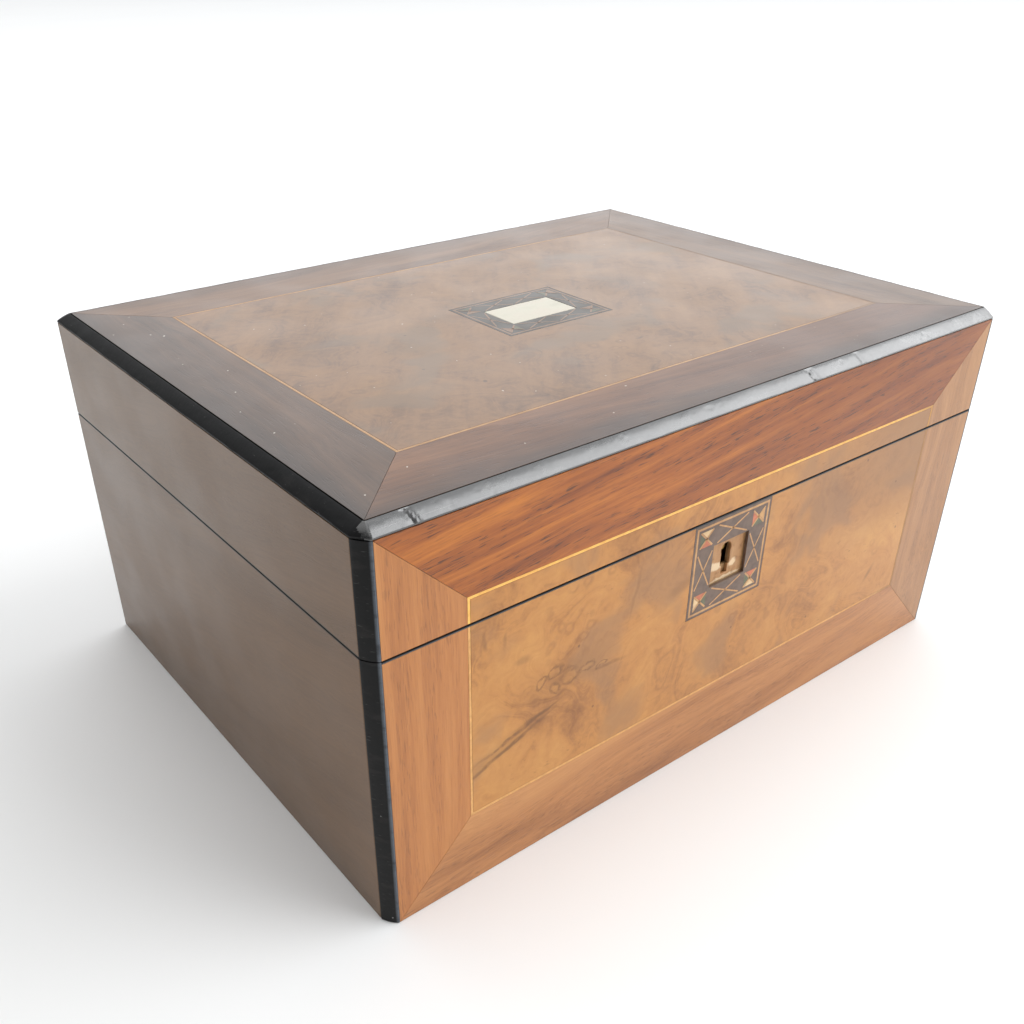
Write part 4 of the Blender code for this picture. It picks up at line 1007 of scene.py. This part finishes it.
def grid_panel(solid, low, high, step, place, rise):
    """A closed panel on a grid. place gives a point, and rise how far the face stands out there."""
    across, up = rows(low[0], high[0], step), rows(low[1], high[1], step)
    face = [[solid.verts.new(place(a, b, rise(a, b))) for b in up] for a in across]
    back = [[solid.verts.new(place(a, b, 0.0)) for b in up] for a in across]
    for i in range(len(across) - 1):
        for j in range(len(up) - 1):
            for sheet in (face, back):
                solid.faces.new((sheet[i][j], sheet[i + 1][j], sheet[i + 1][j + 1], sheet[i][j + 1]))
    last_i, last_j = len(across) - 1, len(up) - 1
    rim = [(i, 0) for i in range(last_i)] + [(last_i, j) for j in range(last_j)]
    rim += [(i, last_j) for i in range(last_i, 0, -1)] + [(0, j) for j in range(last_j, 0, -1)]
    for (i, j), (k, m) in zip(rim, rim[1:] + rim[:1]):
        solid.faces.new((face[i][j], face[k][m], back[k][m], back[i][j]))


def wall_place(side):
    """How a wall's card lies: against the left, right, back or front wall, and out into the box."""
    return {
        "left": lambda across, up, out: (-INNER_SIDE + out, across, up),
        "right": lambda across, up, out: (INNER_SIDE - out, across, up),
        "back": lambda across, up, out: (across, INNER_BACK - out, up),
        "front": lambda across, up, out: (across, INNER_FRONT + out, up),
    }[side]


def wall_parts(body, side, low, high):
    """The rectangles of card on one wall, as low and high corners. The case's front goes round the lock."""
    if side in ("left", "right"):
        return [((INNER_FRONT + CARD, low), (INNER_BACK - CARD, high))]
    if (body, side) != ("case", "front"):
        return [((-INNER_SIDE, low), (INNER_SIDE, high))]
    lock_low, lock_high = span("lock_case")
    left = lock_low.x - LOCK_CLEARANCE
    right = lock_high.x + LOCK_CLEARANCE
    return [
        ((-INNER_SIDE, low), (left, high)),
        ((right, low), (INNER_SIDE, high)),
        ((left + CARD_GAP, low), (right - CARD_GAP, lock_low.z - LOCK_CLEARANCE)),
    ]


def add_card(solid, side, start, end):
    """One piece of covered card on a wall, between two corners."""
    def rise(across, up):
        slack = WALL_SLACK * noise.noise(Vector((across, up, len(side))) * 0.03)
        return LEAST_EDGE + (CARD - LEAST_EDGE - WALL_SLACK + slack) * lip(across, up, start, end)
    grid_panel(solid, start, end, WALL_STEP, wall_place(side), rise)


def add_wall_linings():
    """Silk-covered card on the inside of each wall, cut round the lock."""
    case_low = span("floor_lining")[1].z - WALL_TUCK
    lid_high = span("lid_lining")[0].z + WALL_TUCK
    heights = (("case", case_low, CASE_TOP - WALL_RIM), ("lid", LID_BASE + WALL_RIM, lid_high))
    for body, low, high in heights:
        for side in ("left", "right", "back", "front"):
            solid = bmesh.new()
            for start, end in wall_parts(body, side, low, high):
                add_card(solid, side, start, end)
            material = "silk_side" if side in ("left", "right") else "silk_wall"
            piece(f"{body}_{side}_wall_silk", solid, material, body)


def settle(pad, held, pressure, slack, cap):
    """Lets a pad's cover take its own shape: a cloth simulation, inflated, pinned where held and applied.

    held gives a vertex's pin weight from its place in mm. No point moves by more than cap mm.
    """
    scene = bpy.context.scene
    start = [vertex.co.copy() for vertex in pad.data.vertices]
    group = pad.vertex_groups.new(name="held")
    for index, point in enumerate(start):
        group.add([index], held(point / MM), "REPLACE")
    cloth = pad.modifiers.new("cloth", "CLOTH")
    cover = cloth.settings
    cover.quality = 6
    cover.mass = 0.001
    cover.tension_stiffness = 12
    cover.compression_stiffness = 12
    cover.shear_stiffness = 4
    cover.bending_stiffness = 0.05
    cover.use_pressure = True
    cover.uniform_pressure_force = pressure
    cover.shrink_min = -slack
    cover.vertex_group_mass = group.name
    cover.effector_weights.gravity = 0
    cloth.collision_settings.use_collision = False
    cloth.point_cache.frame_start = 1
    cloth.point_cache.frame_end = SETTLE_FRAMES
    for tick in range(1, SETTLE_FRAMES + 1):
        scene.frame_set(tick)
    settled = pad.evaluated_get(bpy.context.evaluated_depsgraph_get()).data
    for vertex, before, after in zip(pad.data.vertices, start, settled.vertices):
        move = after.co - before
        if move.length > cap * MM:
            move *= cap * MM / move.length
        vertex.co = before + move
    pad.modifiers.remove(cloth)
    pad.vertex_groups.remove(group)
    scene.frame_set(1)


def refine(pad):
    """One smooth subdivision, applied."""
    finer = pad.modifiers.new("finer", "SUBSURF")
    finer.levels = 1
    finer.render_levels = 1
    made = bpy.data.meshes.new_from_object(pad.evaluated_get(bpy.context.evaluated_depsgraph_get()))
    pad.modifiers.remove(finer)
    pad.data = made


def add_floor_pad():
    """Velvet over a thin wad on the box's floor."""
    node_low, node_high = span("floor_lining")
    low, high = (node_low.x, node_low.y), (node_high.x, node_high.y)
    thick = node_high.z - node_low.z

    def inward(across, up):
        return min(across - low[0], high[0] - across, up - low[1], high[1] - up)

    def rise(across, up):
        sewn = FLOOR_GROOVE * math.exp(-((inward(across, up) - FLOOR_BORDER) / FLOOR_GROOVE_WIDTH) ** 2)
        ruck = 0.3 * noise.noise(Vector((across, up, 0)) * 0.045)
        return LEAST_EDGE + (thick - 0.5 - sewn + ruck) * lip(across, up, low, high)

    solid = bmesh.new()
    grid_panel(solid, low, high, PAD_STEP * 0.7, lambda across, up, out: (across, up, node_low.z + out), rise)
    pad = piece("floor_pad", solid, "velvet", "case", 60)

    def held(point):
        rim = lip(point.x, point.y, low, high) < RIM_SHARE
        sewn = abs(inward(point.x, point.y) - FLOOR_BORDER) < FLOOR_GROOVE_WIDTH
        return 1.0 if rim or sewn or point.z < node_low.z + BACK_SKIN else 0.0

    settle(pad, held, pressure=0.6, slack=0.04, cap=0.5)
    refine(pad)
    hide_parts("floor_lining")


def quilt_buttons(half_x, half_y):
    """Where the lid pad's buttons go: a lattice of diamonds that stops short of the rim."""
    most_i = int((half_x - QUILT_BORDER) / (QUILT_WIDE / 2))
    most_j = int((half_y - QUILT_BORDER) / (QUILT_HIGH / 2))
    return [
        (i * QUILT_WIDE / 2, j * QUILT_HIGH / 2)
        for i in range(-most_i, most_i + 1) for j in range(-most_j, most_j + 1) if (i + j) % 2 == 0]


def puff(x, y):
    """The quilting's fullness: 0 along the pleats between buttons and 1 at the middle of a diamond."""
    rising = x / QUILT_WIDE + y / QUILT_HIGH
    falling = x / QUILT_WIDE - y / QUILT_HIGH
    return (abs(math.sin(math.pi * rising)) * abs(math.sin(math.pi * falling))) ** 0.36


def add_lid_pad():
    """Buttoned silk inside the lid, with its buttons and a twisted cord round it."""
    node_low, node_high = span("lid_lining")
    low, high = (node_low.x, node_low.y), (node_high.x, node_high.y)
    buttons = quilt_buttons(high[0], high[1])
    fullness = node_high.z - node_low.z - PLEAT - 0.8

    def nearest(x, y):
        return min(math.hypot(x - a, y - b) for a, b in buttons)

    def rise(x, y):
        deep = DIMPLE * math.exp(-(nearest(x, y) / DIMPLE_REACH) ** 2)
        return LEAST_EDGE + (PLEAT + fullness * puff(x, y) - deep) * lip(x, y, low, high)

    solid = bmesh.new()
    grid_panel(
        solid, low, high, PAD_STEP * 0.75, lambda across, up, out: (across, up, node_high.z - out), rise)
    pad = piece("lid_pad", solid, "silk_pad", "lid", 70)

    def held(point):
        if lip(point.x, point.y, low, high) < RIM_SHARE or point.z > node_high.z - BACK_SKIN:
            return 1.0
        if nearest(point.x, point.y) < BUTTON_RADIUS:
            return 1.0
        return 0.35 if puff(point.x, point.y) < 0.45 else 0.0

    settle(pad, held, pressure=1.5, slack=0.07, cap=0.8)
    refine(pad)
    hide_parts("lid_lining")

    solid = bmesh.new()
    seat = node_high.z - LEAST_EDGE - PLEAT + DIMPLE
    for x, y in buttons:
        add_button(solid, (x, y, seat + 0.3))
    piece("lid_pad_buttons", solid, "silk_pad", "lid", 60)
    solid = bmesh.new()
    add_cord(solid, high[0] - 1.2, high[1] - 1.2, node_high.z - 3.7)
    piece("lid_pad_cord", solid, "cord", "lid", 70)


def add_button(solid, seat):
    """A covered button facing down from its seat, a little dished in the middle."""
    x, y, z = seat
    sides = 16
    profile = ((0.75, -0.1), (1.0, 0.2), (0.96, 0.48), (0.78, 0.8), (0.5, 0.97), (0.22, 0.93))
    rings = []
    for share, drop in profile:
        radius = BUTTON_RADIUS * share
        turns = [2 * math.pi * step / sides for step in range(sides)]
        level = z - BUTTON_HEIGHT * drop
        points = [(x + radius * math.cos(turn), y + radius * math.sin(turn), level) for turn in turns]
        rings.append([solid.verts.new(point) for point in points])
    for upper, lower in zip(rings, rings[1:]):
        for step in range(sides):
            after = (step + 1) % sides
            solid.faces.new((upper[step], upper[after], lower[after], lower[step]))
    solid.faces.new(rings[0])
    solid.faces.new(rings[-1])


def rounded_path(half_x, half_y, radius, count):
    """count even places round a rectangle with rounded corners, each with its outward direction."""
    straight_x, straight_y = 2 * (half_x - radius), 2 * (half_y - radius)
    quarter = math.pi / 2 * radius
    total = 2 * straight_x + 2 * straight_y + 4 * quarter
    legs = [straight_x, quarter, straight_y, quarter] * 2
    starts = [
        (-half_x + radius, -half_y), (half_x - radius, -half_y), (half_x, -half_y + radius),
        (half_x, half_y - radius), (half_x - radius, half_y), (-half_x + radius, half_y),
        (-half_x, half_y - radius), (-half_x, -half_y + radius)]
    places = []
    for index in range(count):
        left = total * index / count
        leg = 0
        while left > legs[leg]:
            left -= legs[leg]
            leg += 1
        heading = math.pi / 2 * (leg // 2)
        x, y = starts[leg]
        if leg % 2 == 0:
            places.append((x + left * math.cos(heading), y + left * math.sin(heading), heading - math.pi / 2))
            continue
        outward = heading - math.pi / 2
        centre = (x - radius * math.cos(outward), y - radius * math.sin(outward))
        facing = outward + left / radius
        places.append((centre[0] + radius * math.cos(facing), centre[1] + radius * math.sin(facing), facing))
    return places


def add_cord(solid, half_x, half_y, z):
    """A two-strand twisted cord in a rounded rectangle."""
    turns = round(4 * (half_x + half_y) / CORD_PITCH)
    path = rounded_path(half_x, half_y, 4.0, turns * CORD_STEPS)
    for strand in (0, 1):
        loops = []
        for index, (x, y, facing) in enumerate(path):
            twist = 2 * math.pi * (index / CORD_STEPS + strand / 2)
            out = CORD_STRAND * math.cos(twist)
            up = CORD_STRAND * math.sin(twist)
            loop = []
            for side in range(CORD_SIDES):
                angle = 2 * math.pi * side / CORD_SIDES
                reach = out + CORD_STRAND * math.cos(angle)
                rise = up + CORD_STRAND * math.sin(angle)
                loop.append((x + reach * math.cos(facing), y + reach * math.sin(facing), z + rise))
            loops.append(loop)
        closed_loops(solid, loops)


for node_name, cad_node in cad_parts.items():
    finish_cad_node(node_name, cad_node)
add_edge_bead()
add_banding(
    "escutcheon", Panel("escutcheon_frame", "front"), "case",
    opening_round("escutcheon_plate", "front"), (1, 1), "inlay_boxwood", ESCUTCHEON_TINTS)
add_banding(
    "cartouche", Panel("cartouche_frame", "top"), "lid",
    opening_round("pearl_plate", "top"), (2, 1), "dull_boxwood", CARTOUCHE_TINTS)
add_wall_linings()
add_floor_pad()
add_lid_pad()


# Stage --------------------------------------------------------------------------------------------


def add_stage():
    """A pale floor that runs out of sight, with painted shade to the left of the box."""
    reach = 12.0
    mesh = bpy.data.meshes.new("floor")
    corners = [(-reach, -reach, 0), (reach, -reach, 0), (reach, reach, 0), (-reach, reach, 0)]
    mesh.from_pydata(corners, [], [(0, 1, 2, 3)])
    floor = bpy.data.objects.new("floor", mesh)
    bpy.context.scene.collection.objects.link(floor)
    recipe = Recipe("floor_card")
    drift = recipe.noise(recipe.place, 400, 2)
    colour = recipe.mix(drift, (0.90, 0.90, 0.895, 1), (0.93, 0.93, 0.925, 1))
    # Painted shade: the floor darkens to the left of the box and fades out beyond a metre or two, standing in
    # for the shade of the light from the right.
    across = recipe.split(recipe.place)[0]
    nearby = recipe.smooth(recipe.distance(recipe.place, (0, 0, 0)), 1000, 2400, 1.0, 0.0)
    shaded = recipe.times(recipe.smooth(across, -130, -420), nearby)
    colour = recipe.mix(shaded, colour, (0.73, 0.73, 0.715, 1))
    mesh.materials.append(recipe.finish(colour, 0.8))


BRIGHT_SIDE = (0.82, 0.32, 0.46)
DIM = 0.13
BRIGHT = 1.62


def add_light(name, place, aim, size, power, colour=(1, 1, 1), roll=0.0):
    """A soft rectangular lamp, size in metres, turned by roll degrees. The camera doesn't see it."""
    lamp = bpy.data.lights.new(name, "AREA")
    lamp.shape = "RECTANGLE"
    lamp.size, lamp.size_y = size
    lamp.energy = power
    lamp.color = colour
    made = bpy.data.objects.new(name, lamp)
    made.location = place
    turn = (Vector(aim) - Vector(place)).to_track_quat("-Z", "Y")
    made.rotation_euler = (turn @ Quaternion((0, 0, 1), math.radians(roll))).to_euler()
    made.visible_camera = False
    bpy.context.scene.collection.objects.link(made)


def studio_world():
    """Soft light from all round, brighter on the right. The camera sees it as plain pale card."""
    world = bpy.data.worlds.new("studio")
    world.use_nodes = True
    tree = world.node_tree
    background = tree.nodes["Background"]
    background.inputs["Color"].default_value = (0.97, 0.985, 1.0, 1)
    direction = tree.nodes.new("ShaderNodeTexCoord")
    facing = tree.nodes.new("ShaderNodeVectorMath")
    facing.operation = "DOT_PRODUCT"
    facing.inputs[1].default_value = Vector(BRIGHT_SIDE).normalized()
    spread = tree.nodes.new("ShaderNodeMapRange")
    spread.interpolation_type = "SMOOTHSTEP"
    for key, value in (("From Min", -0.15), ("From Max", 0.95), ("To Min", DIM), ("To Max", BRIGHT)):
        spread.inputs[key].default_value = value
    seen = tree.nodes.new("ShaderNodeLightPath")
    choice = tree.nodes.new("ShaderNodeMix")
    choice.inputs["B"].default_value = 0.95
    tree.links.new(direction.outputs["Generated"], facing.inputs[0])
    tree.links.new(facing.outputs["Value"], spread.inputs["Value"])
    tree.links.new(seen.outputs["Is Camera Ray"], choice.inputs["Factor"])
    tree.links.new(spread.outputs[0], choice.inputs["A"])
    tree.links.new(choice.outputs[0], background.inputs["Strength"])
    bpy.context.scene.world = world


def add_lights():
    studio_world()
    middle = (0, 0, 0.08)
    add_light("key", (-0.4, -5.4, 3.0), middle, (3.6, 3.0), 22, (1, 0.985, 0.96))
    add_light("softbox", (3.5, -3.1, 3.4), middle, (4.6, 4.2), 190, (0.98, 0.99, 1), -40)
    add_light("overhead", (-1.2, 0.8, 5.5), middle, (5.5, 5.5), 98, (1, 1, 1))


def add_camera():
    """The photograph's viewpoint: above the left front corner, looking down at about 33 degrees."""
    lens = bpy.data.cameras.new("camera")
    lens.lens = 37.03
    lens.sensor_width = 36
    lens.shift_x = 0.0176
    lens.shift_y = 0.0826
    lens.clip_start = 0.01
    camera = bpy.data.objects.new("camera", lens)
    camera.location = (-0.27038, -0.32288, 0.28259)
    camera.rotation_euler = (math.radians(57.414), math.radians(0.027), math.radians(-37.944))
    bpy.context.scene.collection.objects.link(camera)
    bpy.context.scene.camera = camera


add_stage()
add_lights()
add_camera()
bpy.context.scene.view_settings.view_transform = "Standard"
